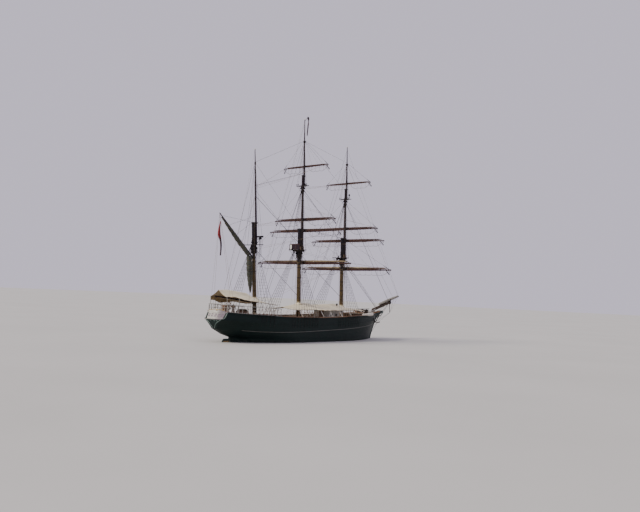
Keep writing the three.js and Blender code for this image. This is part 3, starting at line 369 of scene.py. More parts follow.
# painted shade: each course's roll is darker below its middle height, its shaded underside; the y shades
# darken it towards its port end and, on the fore, its starboard end
for mast, painted_shade_height, port_end, starboard_shade in (("fore", 10.98, 6.0, 0.8), ("main", 11.35, 4.0, 0.0)):
    COURSE_CLOTH[mast] = canvas(
        f"{mast}_course_cloth", (0.2, 0.15, 0.08), (0.38, 0.3, 0.17), (0.1, 0.06, 0.03), "y", sheen=0.1,
        shades=(
            ("z", painted_shade_height + 0.08, painted_shade_height - 0.06, 0.9, (0.04, 0.016, 0.011)),
            ("y", 0.2, port_end, 0.8, (0.05, 0.024, 0.015)),
            ("y", -3.0, -6.0, starboard_shade, (0.07, 0.02, 0.014)),
        ),
    )
TOPSAIL_CLOTH = canvas(
    "tanned_sailcloth", (0.024, 0.01, 0.008), (0.065, 0.028, 0.018), (0.014, 0.006, 0.006), "y", sheen=0.08
)
GAFF_CLOTH = canvas(
    "spanker_cloth", (0.018, 0.02, 0.013), (0.05, 0.054, 0.036), (0.012, 0.012, 0.008), "z", sheen=0.08
)
HEADSAIL_CLOTH = canvas(
    "headsail_cloth", (0.2, 0.19, 0.15), (0.36, 0.35, 0.29), (0.12, 0.1, 0.07), "x", sheen=0.1
)
SAILCLOTH_PALE = canvas("pale_sailcloth", (0.62, 0.57, 0.46), (0.8, 0.76, 0.66), (0.45, 0.39, 0.29), "x")
PENNANT = bunting("dark_bunting", (0.03, 0.02, 0.03), (0.09, 0.05, 0.06))
TAR = laid_rope(
    "tarred_rope", 55.0, (0.01, 0.007, 0.008), (0.034, 0.025, 0.023), 0.2, 0.6, Specular_IOR_Level=0.2
)
# painted shade: manila darker in the grooves of its lay
MANILA = laid_rope("manila_rope", 90.0, (0.16, 0.11, 0.06), (0.33, 0.25, 0.15), 0.1, 0.8, (0.1, 0.07, 0.04))
BUNTING = bunting("red_bunting", (0.19, 0.01, 0.014), (0.32, 0.02, 0.024), (13.4, (0.022, 0.004, 0.009)))
GLASS = window_glass("old_window_glass", (0.02, 0.028, 0.03), (0.05, 0.065, 0.065))
# painted reflection: the stern panes' pale pinkish colour stands for sun and sky mirrored in the glass
STERN_GLASS = window_glass("stern_glass_painted_reflection", (0.1, 0.07, 0.1), (0.3, 0.22, 0.28))


# Shapes

def piece(name, bm, materials, body="ship", smooth=38):
    """Makes a full-size mesh a piece of the model, smooth where its faces meet at less than an angle."""
    bmesh.ops.scale(bm, vec=(MODEL,) * 3, verts=bm.verts)
    mesh = bpy.data.meshes.new(name)
    bm.to_mesh(mesh)
    bm.free()
    for material in materials if isinstance(materials, (list, tuple)) else [materials]:
        mesh.materials.append(material)
    mesh.shade_smooth()
    mesh.set_sharp_from_angle(angle=radians(smooth))
    made = bpy.data.objects.new(name, mesh)
    bpy.context.scene.collection.objects.link(made)
    if body:
        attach(made, body)
    return made


def skin(bm, rings, closed=True, capped=True, material=0):
    """A grid laid over rings of points that all run the same way round."""
    around, along = len(rings[0]) - (not closed), len(rings) - 1
    made = bmesh.ops.create_grid(bm, x_segments=around, y_segments=along, size=1)["verts"]
    for vertex in made:
        i = round((vertex.co.x + 1) / 2 * around)
        j = round((vertex.co.y + 1) / 2 * along)
        vertex.co = rings[j][i % len(rings[j])]
    faces = {face for vertex in made for face in vertex.link_faces}
    if closed:
        bmesh.ops.remove_doubles(bm, verts=made, dist=WELD)
        edges = {edge for face in faces if face.is_valid for edge in face.edges if edge.is_boundary}
        if capped and edges:
            faces |= set(bmesh.ops.holes_fill(bm, edges=list(edges), sides=0)["faces"])
    faces = [face for face in faces if face.is_valid]
    for face in faces:
        face.material_index = material
    if closed:
        bmesh.ops.recalc_face_normals(bm, faces=faces)
    return faces


def facing(start, end):
    """The matrix that stands a shape made along +Z on a start, facing an end."""
    way = Vector(end) - Vector(start)
    return Matrix.Translation(start) @ way.to_track_quat("Z", "Y").to_matrix().to_4x4()


def turned(bm, start, end, profile, sides=16, material=0):
    """A piece turned on a lathe: its profile gives the share of its length and the radius there."""
    length = (Vector(end) - Vector(start)).length
    closed = [(profile[0][0], 0.0), *profile, (profile[-1][0], 0.0)]
    chain = [bm.verts.new((radius, 0, share * length)) for share, radius in closed]
    edges = [bm.edges.new(pair) for pair in zip(chain, chain[1:])]
    made = bmesh.ops.spin(
        bm, geom=chain + edges, cent=(0, 0, 0), axis=UP, angle=tau, steps=sides, use_merge=True,
    )
    reached = {vertex for item in made["geom_last"] for vertex in getattr(item, "verts", [item])} | set(chain)
    todo = list(reached)
    while todo:
        for edge in todo.pop().link_edges:
            for vertex in edge.verts:
                if vertex not in reached:
                    reached.add(vertex)
                    todo.append(vertex)
    bmesh.ops.transform(bm, matrix=facing(start, end), verts=list(reached))
    bmesh.ops.remove_doubles(bm, verts=list(reached), dist=WELD)
    faces = {face for vertex in reached if vertex.is_valid for face in vertex.link_faces}
    for face in faces:
        face.material_index = material
    bmesh.ops.recalc_face_normals(bm, faces=list(faces))


def rod(bm, start, end, radius, end_radius=None, sides=8, material=0):
    length = (Vector(end) - Vector(start)).length
    made = bmesh.ops.create_cone(
        bm, cap_ends=True, segments=sides, radius1=radius,
        radius2=radius if end_radius is None else end_radius, depth=length,
        matrix=facing(start, end) @ Matrix.Translation((0, 0, length / 2)),
    )["verts"]
    for face in {face for vertex in made for face in vertex.link_faces}:
        face.material_index = material


def pipe(bm, points, radius, sides=8, material=0):
    """Rods laid end to end along a line of points."""
    for start, end in zip(points, points[1:]):
        rod(bm, start, end, radius, sides=sides, material=material)


def block(bm, corner, opposite, bevel=0.01, material=0, matrix=None):
    """A squared piece between two opposite corners, with its edges eased."""
    size = [abs(b - a) for a, b in zip(corner, opposite)]
    middle = [(a + b) / 2 for a, b in zip(corner, opposite)]
    place = Matrix.Translation(middle) @ Matrix.Diagonal((*size, 1))
    made = bmesh.ops.create_cube(bm, size=1, matrix=(matrix or Matrix()) @ place)["verts"]
    faces = {face for vertex in made for face in vertex.link_faces}
    if bevel:
        edges = list({edge for vertex in made for edge in vertex.link_edges})
        eased = bmesh.ops.bevel(
            bm, geom=edges, offset=bevel, segments=1, profile=0.5, affect="EDGES", material=-1,
        )
        faces = {face for vertex in eased["verts"] for face in vertex.link_faces}
    for face in faces:
        face.material_index = material


def plate(bm, outline, thickness, matrix=None, bevel=0.0, material=0):
    """A flat plate cut to an outline of x, z points, centred on y = 0."""
    corners = [bm.verts.new((x, -thickness / 2, z)) for x, z in outline]
    face = bm.faces.new(corners)
    grown = bmesh.ops.extrude_face_region(bm, geom=[face])["geom"]
    moved = [item for item in grown if isinstance(item, bmesh.types.BMVert)]
    bmesh.ops.translate(bm, vec=(0, thickness, 0), verts=moved)
    faces = {f for vertex in corners + moved for f in vertex.link_faces}
    bmesh.ops.recalc_face_normals(bm, faces=list(faces))
    if bevel:
        edges = list({edge for f in faces for edge in f.edges})
        eased = bmesh.ops.bevel(
            bm, geom=edges, offset=bevel, segments=1, profile=0.5, affect="EDGES", material=-1,
            clamp_overlap=True,
        )
        faces = {f for vertex in eased["verts"] for f in vertex.link_faces}
    vertices = {vertex for f in faces for vertex in f.verts}
    if matrix is not None:
        bmesh.ops.transform(bm, matrix=matrix, verts=list(vertices))
    for f in faces:
        f.material_index = material


def ball(bm, centre, size, matrix=None, sides=8, material=0):
    """A rounded block, deadeye or knob of given half-sizes."""
    place = Matrix.Translation(centre) @ (matrix or Matrix()) @ Matrix.Diagonal((*size, 1))
    halves = max(4, sides // 2)
    made = bmesh.ops.create_uvsphere(bm, u_segments=sides, v_segments=halves, radius=1, matrix=place)
    for face in {face for vertex in made["verts"] for face in vertex.link_faces}:
        face.material_index = material


def loop(centre, radius, axis=UP, points=12, stretch=1.0):
    """A closed ring of points round an axis."""
    turn = Vector(axis).to_track_quat("Z", "Y")
    return [
        Vector(centre) + turn @ Vector((radius * cos(a), radius * stretch * sin(a), 0))
        for a in (tau * i / points for i in range(points))
    ]


def corners(first, second):
    """The four corners of a section, in order round it, from the two values of each of its measures."""
    (a0, a1), (b0, b1) = first, second
    return (a0, b0), (a1, b0), (a1, b1), (a0, b1)


def hanging(start, end, sag, points=9):
    """A line between two points that sags by its own weight."""
    start, end = Vector(start), Vector(end)
    return [start.lerp(end, t) - UP * 4 * sag * t * (1 - t) for t in shares(0, 1, points - 1)]


def lines(name, routes, material, body="ship", round_lines=False):
    """Ropes and rods in one piece: each route is its radius and its points, and a third value closes it."""
    curve = bpy.data.curves.new(name, "CURVE")
    curve.dimensions = "3D"
    curve.bevel_depth = MODEL
    curve.bevel_resolution = 1 if round_lines else 0
    curve.use_fill_caps = True
    for radius, points, *closed in routes:
        spline = curve.splines.new("POLY")
        spline.points.add(len(points) - 1)
        for target, point in zip(spline.points, points):
            target.co = (*(Vector(point) * MODEL), 1.0)
            target.radius = radius
        spline.use_cyclic_u = bool(closed)
    holder = bpy.data.objects.new(name, curve)
    mesh = bpy.data.meshes.new_from_object(holder)
    bpy.data.objects.remove(holder)
    bpy.data.curves.remove(curve)
    mesh.name = name
    mesh.materials.clear()
    mesh.materials.append(material)
    mesh.shade_smooth()
    made = bpy.data.objects.new(name, mesh)
    bpy.context.scene.collection.objects.link(made)
    if body:
        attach(made, body)
    return made


def blended(made):
    """A rigging piece that runs from the ship to a spar that swings, with its place baked into its mesh."""
    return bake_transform(made)


def smooth_between(table, at):
    """The values of a table's rows at any place: each row starts with its own place."""
    if at <= table[0][0]:
        return list(table[0][1:])
    if at >= table[-1][0]:
        return list(table[-1][1:])
    i = next(k for k in range(1, len(table)) if table[k][0] >= at)
    rows = [table[max(0, i - 2)], table[i - 1], table[i], table[min(len(table) - 1, i + 1)]]
    share = (at - rows[1][0]) / (rows[2][0] - rows[1][0])
    return [catmull(*(row[k] for row in rows), share) for k in range(1, len(table[0]))]


def catmull(before, start, end, after, share):
    """A smooth value between a start and an end."""
    rise_in, rise_out = (end - before) / 2, (after - start) / 2
    two, three = share * share, share ** 3
    return (
        (2 * three - 3 * two + 1) * start + (three - 2 * two + share) * rise_in
        + (3 * two - 2 * three) * end + (three - two) * rise_out
    )


# The hull's form, as the part's source gives it

Row = namedtuple("Row", "z aft fore half stern run entrance sheer")
HULL_ROWS = [Row(*values) for values in (
    (-3.05, -11.7, 13.5, 0.15, 0.15, 1.0, 1.0, 0.0),
    (-2.75, -11.7, 14.6, 1.35, 0.15, 1.2, 1.2, 0.0),
    (-2.1, -11.7, 15.5, 2.55, 0.15, 1.3, 1.4, 0.0),
    (-1.3, -11.7, 16.2, 3.35, 0.15, 1.5, 1.7, 0.0),
    (-0.6, -11.9, 16.7, 3.7, 0.15, 1.8, 2.0, 0.0),
    (-0.1, -13.1, 17.0, 3.82, 0.15, 2.0, 2.2, 0.0),
    (0.55, -13.2, 17.25, 3.9, 0.15, 2.4, 2.3, 0.1),
    (0.95, -14.75, 17.5, 3.92, 0.25, 2.4, 2.4, 0.3),
    (1.45, -16.0, 17.85, 3.93, 0.5, 2.4, 2.6, 0.6),
    (1.9, -16.25, 18.2, 3.93, 0.9, 2.3, 2.8, 0.9),
    (DECK_HEIGHT, AFT_END, FORE_END, 3.9, 1.6, 2.2, 3.0, 1.0),
    (3.42, AFT_END, FORE_END, 3.86, 1.6, 2.2, 3.1, 1.0),
)]
DECK, RAIL = 10, 11
AFT_SHOULDER, FORE_SHOULDER = -3, 4
STEM_HALF = 0.15
POOP_END, POOP_BREAK, FORECASTLE_BREAK = 0.0187, 0.2536, 0.8266
RAIL_HEIGHT = {"poop": 1.0, "forecastle": 0.62}


def sheer_at(x):
    return SHEER_AFT * (x / AFT_END) ** 2 if x < 0 else SHEER_FORE * (x / FORE_END) ** 1.5


def row_at(level):
    """The hull's row at any level from the keel, 0, to the rail."""
    low = max(0, min(RAIL - 1, int(level)))
    near = [HULL_ROWS[max(0, min(RAIL, low + k))] for k in (-1, 0, 1, 2)]
    share = level - low
    return Row(*(
        catmull(*values, share) if name in ("half", "stern") else values[1] + (values[2] - values[1]) * share
        for name, values in zip(Row._fields, zip(*near))
    ))


def half_breadth(row, x):
    if AFT_SHOULDER <= x <= FORE_SHOULDER:
        return row.half
    start, end, breadth, power = (
        (AFT_SHOULDER, row.aft, row.stern, row.run) if x < AFT_SHOULDER
        else (FORE_SHOULDER, row.fore, STEM_HALF, row.entrance)
    )
    return row.half + (breadth - row.half) * max(0.0, (x - start) / (end - start)) ** power


def hull_point(level, share, side, inset=0.0, lift=0.0):
    row = row_at(level)
    x = row.aft + (row.fore - row.aft) * share
    breadth = max(half_breadth(row, x) - inset, STEM_HALF / 3)
    return Vector((x, side * breadth, row.z + row.sheer * sheer_at(x) + lift))


def height_at(level, x):
    row = row_at(level)
    return row.z + row.sheer * sheer_at(x)


def breadth_at(level, x):
    return half_breadth(row_at(level), x)


def share_of(x):
    """The share of the deck's and rail's length at x."""
    return (x - AFT_END) / (FORE_END - AFT_END)


def shares(first, last, count):
    return [first + (last - first) * i / count for i in range(count + 1)]


def plank(bm, level, run, side, insets, lifts, count=24, material=0):
    """A plank along one side of a row, between two shares of its length."""
    skin(bm, [
        [hull_point(level, s, side, inset, lift) for lift, inset in corners(lifts, insets)]
        for s in shares(*run, count)
    ], material=material)


# Hull, decks and rails

LEVELS = sorted([RAIL * i / 44 for i in range(45)] + [DECK + 0.002])
SHARES = [0.55 * (0.5 - 0.5 * cos(pi * i / 90)) + 0.45 * i / 90 for i in range(91)]
LEDGE_X, TAFFRAIL_X = -16.0, -15.52  # the stern's upper face, at the ledge and at the rail


def first_share(level):
    """Where a row starts: above the deck the stern stands in from the ledge and leans forward."""
    if level <= DECK:
        return 0.0
    return share_of(LEDGE_X + (TAFFRAIL_X - LEDGE_X) * (level - DECK))


def side_point(level, share, side):
    return hull_point(level, max(share, first_share(level)), side)


def stern_point(level, across):
    """A point of the stern's face, which is rounded a little above the counter."""
    corner = side_point(level, 0.0, 1)
    fullness = max(0.0, min(1.0, (level - 7) / 3)) * 0.1
    return Vector((corner.x - fullness * (1 - across * across), across * corner.y, corner.z))


def build_hull():
    """The planking: both sides, the stern, the stem's face and the bottom, sewn into one shell."""
    bm = bmesh.new()
    for side in SIDES.values():
        skin(bm, [[side_point(level, share, side) for level in LEVELS] for share in SHARES], closed=False)
    skin(bm, [[stern_point(level, u) for level in LEVELS] for u in shares(-1, 1, 12)], closed=False)
    skin(bm, [[hull_point(level, 1.0, side) for level in LEVELS] for side in (-1, 1)], closed=False)
    skin(bm, [[hull_point(0, share, side) for side in (-1, 1)] for share in SHARES], closed=False)
    bmesh.ops.remove_doubles(bm, verts=bm.verts, dist=10 * WELD)
    bmesh.ops.recalc_face_normals(bm, faces=bm.faces)
    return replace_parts(piece("hull_planking", bm, HULL_PAINT, smooth=50), "hull")


RIBBON = [  # x, z of the white line
    (-13.1, 1.6), (-12.4, 1.56), (-10.7, 1.48), (-6.8, 1.43), (-4.0, 1.46), (0.2, 1.58), (5.4, 1.76),
    (8.5, 1.92), (12.5, 2.16), (15.0, 2.36), (17.4, 2.62),
]


def level_at(x, z):
    """The level whose height is z at x."""
    low, high = 5.0, RAIL
    for _ in range(24):
        middle = (low + high) / 2
        low, high = (middle, high) if height_at(middle, x) < z else (low, middle)
    return low


def on_side(x, z, side, out=0.0):
    return Vector((x, side * (breadth_at(level_at(x, z), x) + out), z))


def build_wales():
    """The white line along the side, the moulding at the deck's edge and the one under the rail."""
    bm = bmesh.new()
    run = [(x, smooth_between(RIBBON, x)[0]) for x in shares(RIBBON[0][0], RIBBON[-1][0], 90)]
    for side in SIDES.values():
        skin(bm, [
            [on_side(x, z + dz, side, out) for out, dz in corners((-0.04, 0.025), (-0.024, 0.024))]
            for x, z in run
        ])
        plank(bm, DECK, (0.0, 0.996), side, (-0.05, 0.05), (-0.06, 0.05), 70, 1)
        plank(bm, 10.8, (0.026, 0.996), side, (-0.045, 0.05), (-0.035, 0.035), 70, 1)
    # the white line's LINE_PAINT is the white dimmed as painted shade
    return piece("hull_mouldings", bm, [LINE_PAINT, HULL_PAINT])


STEM_OUTLINE = [
    (13.3, -3.45), (14.9, -3.2), (16.1, -2.3), (16.9, -1.2), (17.3, -0.2), (17.65, 0.8), (18.2, 2.0),
    (18.75, 3.0), (19.5, 3.75), (20.7, 4.2), (20.8, 4.5), (19.6, 4.5),
]


def build_keel():
    """The keel with its stem, knee and sternpost, and the frame that the screw turns in."""
    bm = bmesh.new()
    stem = [tuple(hull_point(level, 1.0, 1).xz) for level in range(RAIL + 1)]
    outline = [
        (-13.6, -3.45), *STEM_OUTLINE, *reversed(stem), (-12.8, -3.05), (-12.8, -0.1), (-13.1, -0.1),
        (-13.25, -0.1), (-13.25, -3.2), (-13.6, -3.2),
    ]
    plate(bm, outline, 2 * STEM_HALF, bevel=0.03)
    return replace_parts(piece("keel_and_stem", bm, BOTTOM), "keel")


def build_decks():
    """The planked decks: the waist's at the deck row, and the poop's and forecastle's at the rail row."""
    for name, level, run, node, inset in (
        ("waist_deck", DECK, (POOP_BREAK, FORECASTLE_BREAK), None, 0.1),
        ("poop_deck", RAIL, (POOP_END, POOP_BREAK), "poop", 0.0),
        ("forecastle_deck", RAIL, (FORECASTLE_BREAK, 1.0), "forecastle", 0.0),
    ):
        bm = bmesh.new()
        skin(bm, [
            [hull_point(level, s, 1, inset, 0.004) * Vector((1, u, 1)) for u in shares(-1, 1, 6)]
            for s in shares(*run, 30)
        ], closed=False)
        bmesh.ops.recalc_face_normals(bm, faces=bm.faces)
        if bm.faces[0].normal.z < 0:
            bmesh.ops.reverse_faces(bm, faces=bm.faces)
        if node:
            for side in SIDES.values():
                plank(bm, level, (run[0], min(run[1], 0.97)), side, (-0.04, 0.3), (0.0, 0.07), 30, 1)
        made = piece(name, bm, [DECKING, TEAK])
        if node:
            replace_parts(made, node)


def build_bulkheads():
    """The boarded faces of the poop and forecastle towards the waist, with doors, ports and ladders."""
    bm = bmesh.new()
    for share, way in ((POOP_BREAK, 1), (FORECASTLE_BREAK, -1)):
        x = AFT_END + (FORE_END - AFT_END) * share + way * 0.012
        low, high = height_at(DECK, x), height_at(RAIL, x)
        half = breadth_at(DECK, x) - 0.17
        skin(bm, [[(x, u * half, low), (x, u * half, high + 0.02)] for u in shares(-1, 1, 10)], closed=False)
        edge = x + way * 0.05
        block(bm, (x, -half, high - 0.02), (edge, half, high + 0.09), 0.015, 1)
        block(bm, (x, -half, low), (edge, half, low + 0.1), 0.015, 1)
        for y in (-1.6, 1.6):  # doors, each of two panels
            block(bm, (x, y - 0.4, low + 0.08), (edge, y + 0.4, high - 0.06), 0.012, 1)
            for panel in (y - 0.19, y + 0.19):
                block(bm, (x, panel - 0.13, low + 0.2), (x + way * 0.07, panel + 0.13, high - 0.16), 0.012, 2)
            ball(bm, (x + way * 0.1, y + 0.34, low + 0.45), (0.035,) * 3, material=3)
        port_height = (low + high) / 2 + 0.08
        for y in (-2.75, -0.75, 0.75, 2.75):
            if abs(y) < half - 0.25:
                for out, radius, material in ((0.04, 0.17, 3), (0.05, 0.12, 4)):
                    port = Vector((x, y, port_height))
                    rod(bm, port, port + Vector((way * out, 0, 0)), radius, sides=20, material=material)
        for side in SIDES.values():  # ladders
            middle = side * (half - 0.55)
            side_piece = [(way * dx, z) for dx, z in ((0, 0), (0.14, 0), (-0.45, 1.02), (-0.59, 1.02))]
            for y in (middle - 0.32, middle + 0.32):
                place = Matrix.Translation((x + way * 0.62, y, low)) @ Matrix.Diagonal(
                    (1, 1, (high - low) / 1.02, 1)
                )
                plate(bm, side_piece, 0.05, place, material=1)
            for step in (0.2, 0.4, 0.6, 0.8, 0.97):
                foot, z = x + way * (0.66 - 0.59 * step), low + (high - low) * step
                block(
                    bm, (foot, middle - 0.3, z - 0.02), (foot + way * 0.18, middle + 0.3, z + 0.02), 0.008, 1
                )
    return piece("deck_bulkheads", bm, [BOARDING, TEAK, BOARDING, BRONZE, GLASS])


BELAYING_PIN = [(0, 0.016), (0.4, 0.016), (0.5, 0.028), (0.8, 0.03), (1, 0.015)]


def build_bulwarks():
    """The waist's bulwarks inside: lining, stanchions, rail cap, pin rails and the awnings' posts."""
    for word, side in SIDES.items():
        bm = bmesh.new()
        run = (POOP_BREAK + 0.0006, FORECASTLE_BREAK - 0.0006)
        skin(bm, [
            [hull_point(level, s, side, inset) for level, inset in corners((DECK, RAIL), (0.04, 0.15))]
            for s in shares(*run, 60)
        ])
        plank(bm, RAIL, run, side, (-0.05, 0.25), (-0.02, 0.07), 60, 1)
        plank(bm, DECK, run, side, (0.1, 0.4), (0.0, 0.03), 60, 1)
        for s in shares(run[0] + 0.01, run[1] - 0.01, 18):
            foot, head = hull_point(DECK, s, side, 0.2), hull_point(RAIL, s, side, 0.19, -0.02)
            inner, outer = sorted((foot.y, head.y))
            block(bm, (foot.x - 0.06, inner - 0.07, foot.z), (foot.x + 0.06, outer + 0.07, head.z), 0.012)
        for name in ("fore", "main"):
            middle = MASTS[name].x - 1.6
            span = [share_of(middle - 1.9), share_of(middle + 1.9)]
            plank(bm, RAIL, span, side, (0.2, 0.48), (-0.25, -0.18), 8, 1)
            for s in shares(span[0] + 0.004, span[1] - 0.004, 12):
                pin = hull_point(RAIL, s, side, 0.36, -0.36)
                turned(bm, pin, pin + UP * 0.38, BELAYING_PIN, 6, 2)
        for awning in (MAIN_AWNING, FORE_AWNING):
            for x in awning.posts:
                awning_post(bm, awning, x, side, 3)
        made = piece(f"bulwark_inside_{word}", bm, [WHITE, TEAK, TEAK, WHITE])
        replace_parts(made, f"bulwark_{word}")


def awning_post(bm, awning, x, side, material):
    """A post from the rail to the cloth, with a knob at its head and a clamp at its foot."""
    half, edge, ridge = awning.at(x)
    top = Vector((x, side * (half - 0.08), edge + (ridge - edge) * 0.08 / half - 0.06))
    foot = Vector((x, side * (breadth_at(RAIL, x) - 0.1), height_at(RAIL, x) + 0.035))
    rod(bm, foot, top, 0.03, material=material)
    ball(bm, top, (0.045, 0.045, 0.05), material=material)
    ball(bm, foot + (top - foot) * 0.04, (0.05, 0.05, 0.06), material=material)


def stanchion(bm, foot, height):
    """A turned stanchion that carries a rail."""
    turned(bm, foot, foot + UP * height, [
        (0, 0.05), (0.06, 0.05), (0.1, 0.028), (0.3, 0.04), (0.46, 0.026), (0.5, 0.036), (0.56, 0.026),
        (0.75, 0.034), (0.94, 0.026), (1, 0.04),
    ], 8)


def rail_bars(height):
    """A rail's foot plank, handrail and middle bar: low and high edge, insets of both sides, and material."""
    middle = height * 0.52
    return (
        (0.0, 0.07, (-0.04, 0.22), 1), (height - 0.07, height - 0.005, (0.035, 0.165), 1),
        (middle, middle + 0.04, (0.08, 0.12), 0),
    )


def open_rail(bm, run, side, height, posts):
    for low, high, insets, material in rail_bars(height):
        plank(bm, RAIL, run, side, insets, (low, high), 40, material)
    for s in shares(run[0] + 0.002, run[1] - 0.002, posts - 1):
        stanchion(bm, hull_point(RAIL, s, side, 0.1, 0.05), height - 0.1)


def build_rails():
    """The open rails. Each of the poop's two has half of the taffrail and the posts of its awning."""
    for word, side in SIDES.items():
        bm = bmesh.new()
        height = RAIL_HEIGHT["poop"]
        open_rail(bm, (POOP_END + 0.003, POOP_BREAK), side, height, 13)
        for x in POOP_AWNING.posts:
            awning_post(bm, POOP_AWNING, x, side, 0)
        corner = hull_point(RAIL, POOP_END, side, 0.1)
        x = corner.x + 0.1
        for low, high, _, material in rail_bars(height):
            block(bm, (x - 0.05, 0.0, corner.z + low), (x + 0.05, corner.y, corner.z + high), 0.012, material)
        for share in shares(0, 1, 4):
            stanchion(bm, Vector((x, corner.y * share, corner.z + 0.05)), height - 0.1)
        # the rails' RAIL_WHITE is the white dimmed as painted shade
        made = piece(f"poop_railing_{word}", bm, [RAIL_WHITE, RAIL_WHITE])
        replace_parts(made, f"poop_rail_{word}")
        bm = bmesh.new()
        open_rail(bm, (FORECASTLE_BREAK + 0.002, 0.979), side, RAIL_HEIGHT["forecastle"], 10)
        made = piece(f"forecastle_railing_{word}", bm, [RAIL_WHITE, RAIL_WHITE])
        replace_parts(made, f"forecastle_rail_{word}")


def stern_band(bm, levels, places, outs, material=0):
    """A strip on the stern's face, between two levels, along places across it."""
    skin(bm, [
        [stern_point(level, u) - Vector((out, 0, 0)) for out, level in corners(outs, levels)] for u in places
    ], material=material)


STERN_WINDOWS = (-0.68, -0.34, 0.0, 0.34, 0.68)  # their middles, as shares of the half-breadth
WINDOW_BARS = (  # levels, and shares from the window's middle
    ((10.24, 10.31), (-0.13, 0.13)), ((10.75, 10.82), (-0.13, 0.13)), ((10.24, 10.82), (-0.13, -0.1)),
    ((10.24, 10.82), (0.1, 0.13)), ((10.3, 10.78), (-0.012, 0.012)), ((10.5, 10.54), (-0.12, 0.12)),
)


def build_stern():
    """The stern's windows in a white band between mouldings, the scrolls beside them and the carved board."""
    bm = bmesh.new()
    for levels, out in (((9.93, 10.0), 0.07), ((10.9, 11.02), 0.09)):
        stern_band(bm, levels, shares(-1, 1, 12), (0.0, out))
    stern_band(bm, (10.04, 10.96), shares(-0.86, 0.86, 16), (-0.02, 0.02))
    for middle in STERN_WINDOWS:
        stern_band(bm, (10.3, 10.76), shares(middle - 0.11, middle + 0.11, 2), (0.0, 0.035), 1)
        for levels, (left, right) in WINDOW_BARS:
            stern_band(bm, levels, shares(middle + left, middle + right, 2), (0.0, 0.065))
    for side in SIDES.values():
        quarter = [side_point(RAIL - 0.125 * k, 0.0, side) for k in range(8)]
        quarter += [stern_point(DECK - 0.16 * k, side * (1 - 0.06 * k)) for k in range(13)]
        pipe(bm, quarter, 0.045, material=4)
        for middle, wide in ((0.62, 0.3), (0.25, 0.2)):
            scroll = []
            for a in (tau * k / 16 for k in range(15)):
                level = 9.55 + 0.25 * sin(a / 2) - 0.05 * a * middle
                across = side * (middle + wide * cos(a) * 0.5)
                scroll.append(stern_point(level, across) - Vector((0.02, 0, 0)))
            pipe(bm, scroll, 0.022, 6, 4)
    deck = hull_point(RAIL, POOP_END, 1).z
    board = [(-1.55, deck - 0.05), (1.55, deck - 0.05)]
    board += [(1.62 - 3.24 * t, deck + 0.08 + 0.3 * sin(pi * t) ** 1.2) for t in shares(0, 1, 10)]
    place = Matrix.Translation((TAFFRAIL_X - 0.13, 0, 0)) @ Matrix.Rotation(pi / 2, 4, "Z")
    plate(bm, board, 0.1, place, 0.015)
    carved = TAFFRAIL_X - 0.2
    for side in SIDES.values():
        for a in shares(0, 1, 6):
            centre = (carved, side * (1.35 - 1.05 * a), deck + 0.12 + 0.16 * sin(pi * (0.1 + 0.4 * a)))
            ball(
                bm, centre, (0.03, 0.1 - 0.03 * a, 0.045), Matrix.Rotation(side * (0.6 - a), 4, "X"),
                material=3,
            )
    ball(bm, (carved, 0, deck + 0.22), (0.04, 0.14, 0.12), sides=12, material=3)
    # the band's STERN_WHITE carries painted shade, and the panes' STERN_GLASS a painted reflection
    piece("stern_windows", bm, [STERN_WHITE, STERN_GLASS, HULL_PAINT, GILT, SCROLL])


CATHEAD_X = 15.9


def build_bow():
    """Scrollwork under the bowsprit, head rails, catheads with their anchors, and the cable's pipes."""
    bm = bmesh.new()
    routes = []
    for side in SIDES.values():
        spiral = []
        for t in range(24):
            radius = 0.26 * (1 - t / 26)
            spiral.append((20.45 + radius * cos(t * 0.42), side * 0.17, 4.12 + radius * sin(t * 0.42)))
        routes.append((0.045, spiral))
        routes.append((0.035, [
            (20.4, side * 0.17, 3.95), (19.7, side * 0.19, 3.6), (19.0, side * 0.25, 3.15),
            (18.5, side * 0.33, 2.75), (17.9, side * 0.6, 2.5),
        ]))
        for low in (0.0, 0.38):
            routes.append((0.03, [
                (20.3, side * 0.16, 4.3 - low), (19.4, side * 0.3, 3.85 - low * 0.8),
                (18.5, side * 0.5, 3.75 - low * 0.6), (17.8, side * 0.85, 3.9 - low * 0.4),
            ]))
    scroll = lines("head_scrollwork", routes, SCROLL, round_lines=True)
    for side in SIDES.values():
        foot = rail_seat(CATHEAD_X, side, -0.25, 0.1)
        out = foot + Vector((0.35, side * 1.05, 0.28))
        turn = facing(foot, out)
        block(bm, (-0.11, -0.11, -0.5), (0.11, 0.11, (out - foot).length), 0.02, 0, turn)
        block_at = out - Vector((0.02, side * 0.06, 0.12))
        ring = block_at - UP * 0.35
        rod(bm, block_at, ring, 0.02, sides=6, material=1)
        anchor(bm, ring, side)
        hawse = hull_point(9.3, 0.955, side)
        inward = Vector((0.25, -side, 0.1))
        rod(bm, hawse - inward * 0.05, hawse - inward * 0.1, 0.17, sides=14, material=1)
    made = piece("catheads_and_anchors", bm, [TEAK, IRON])


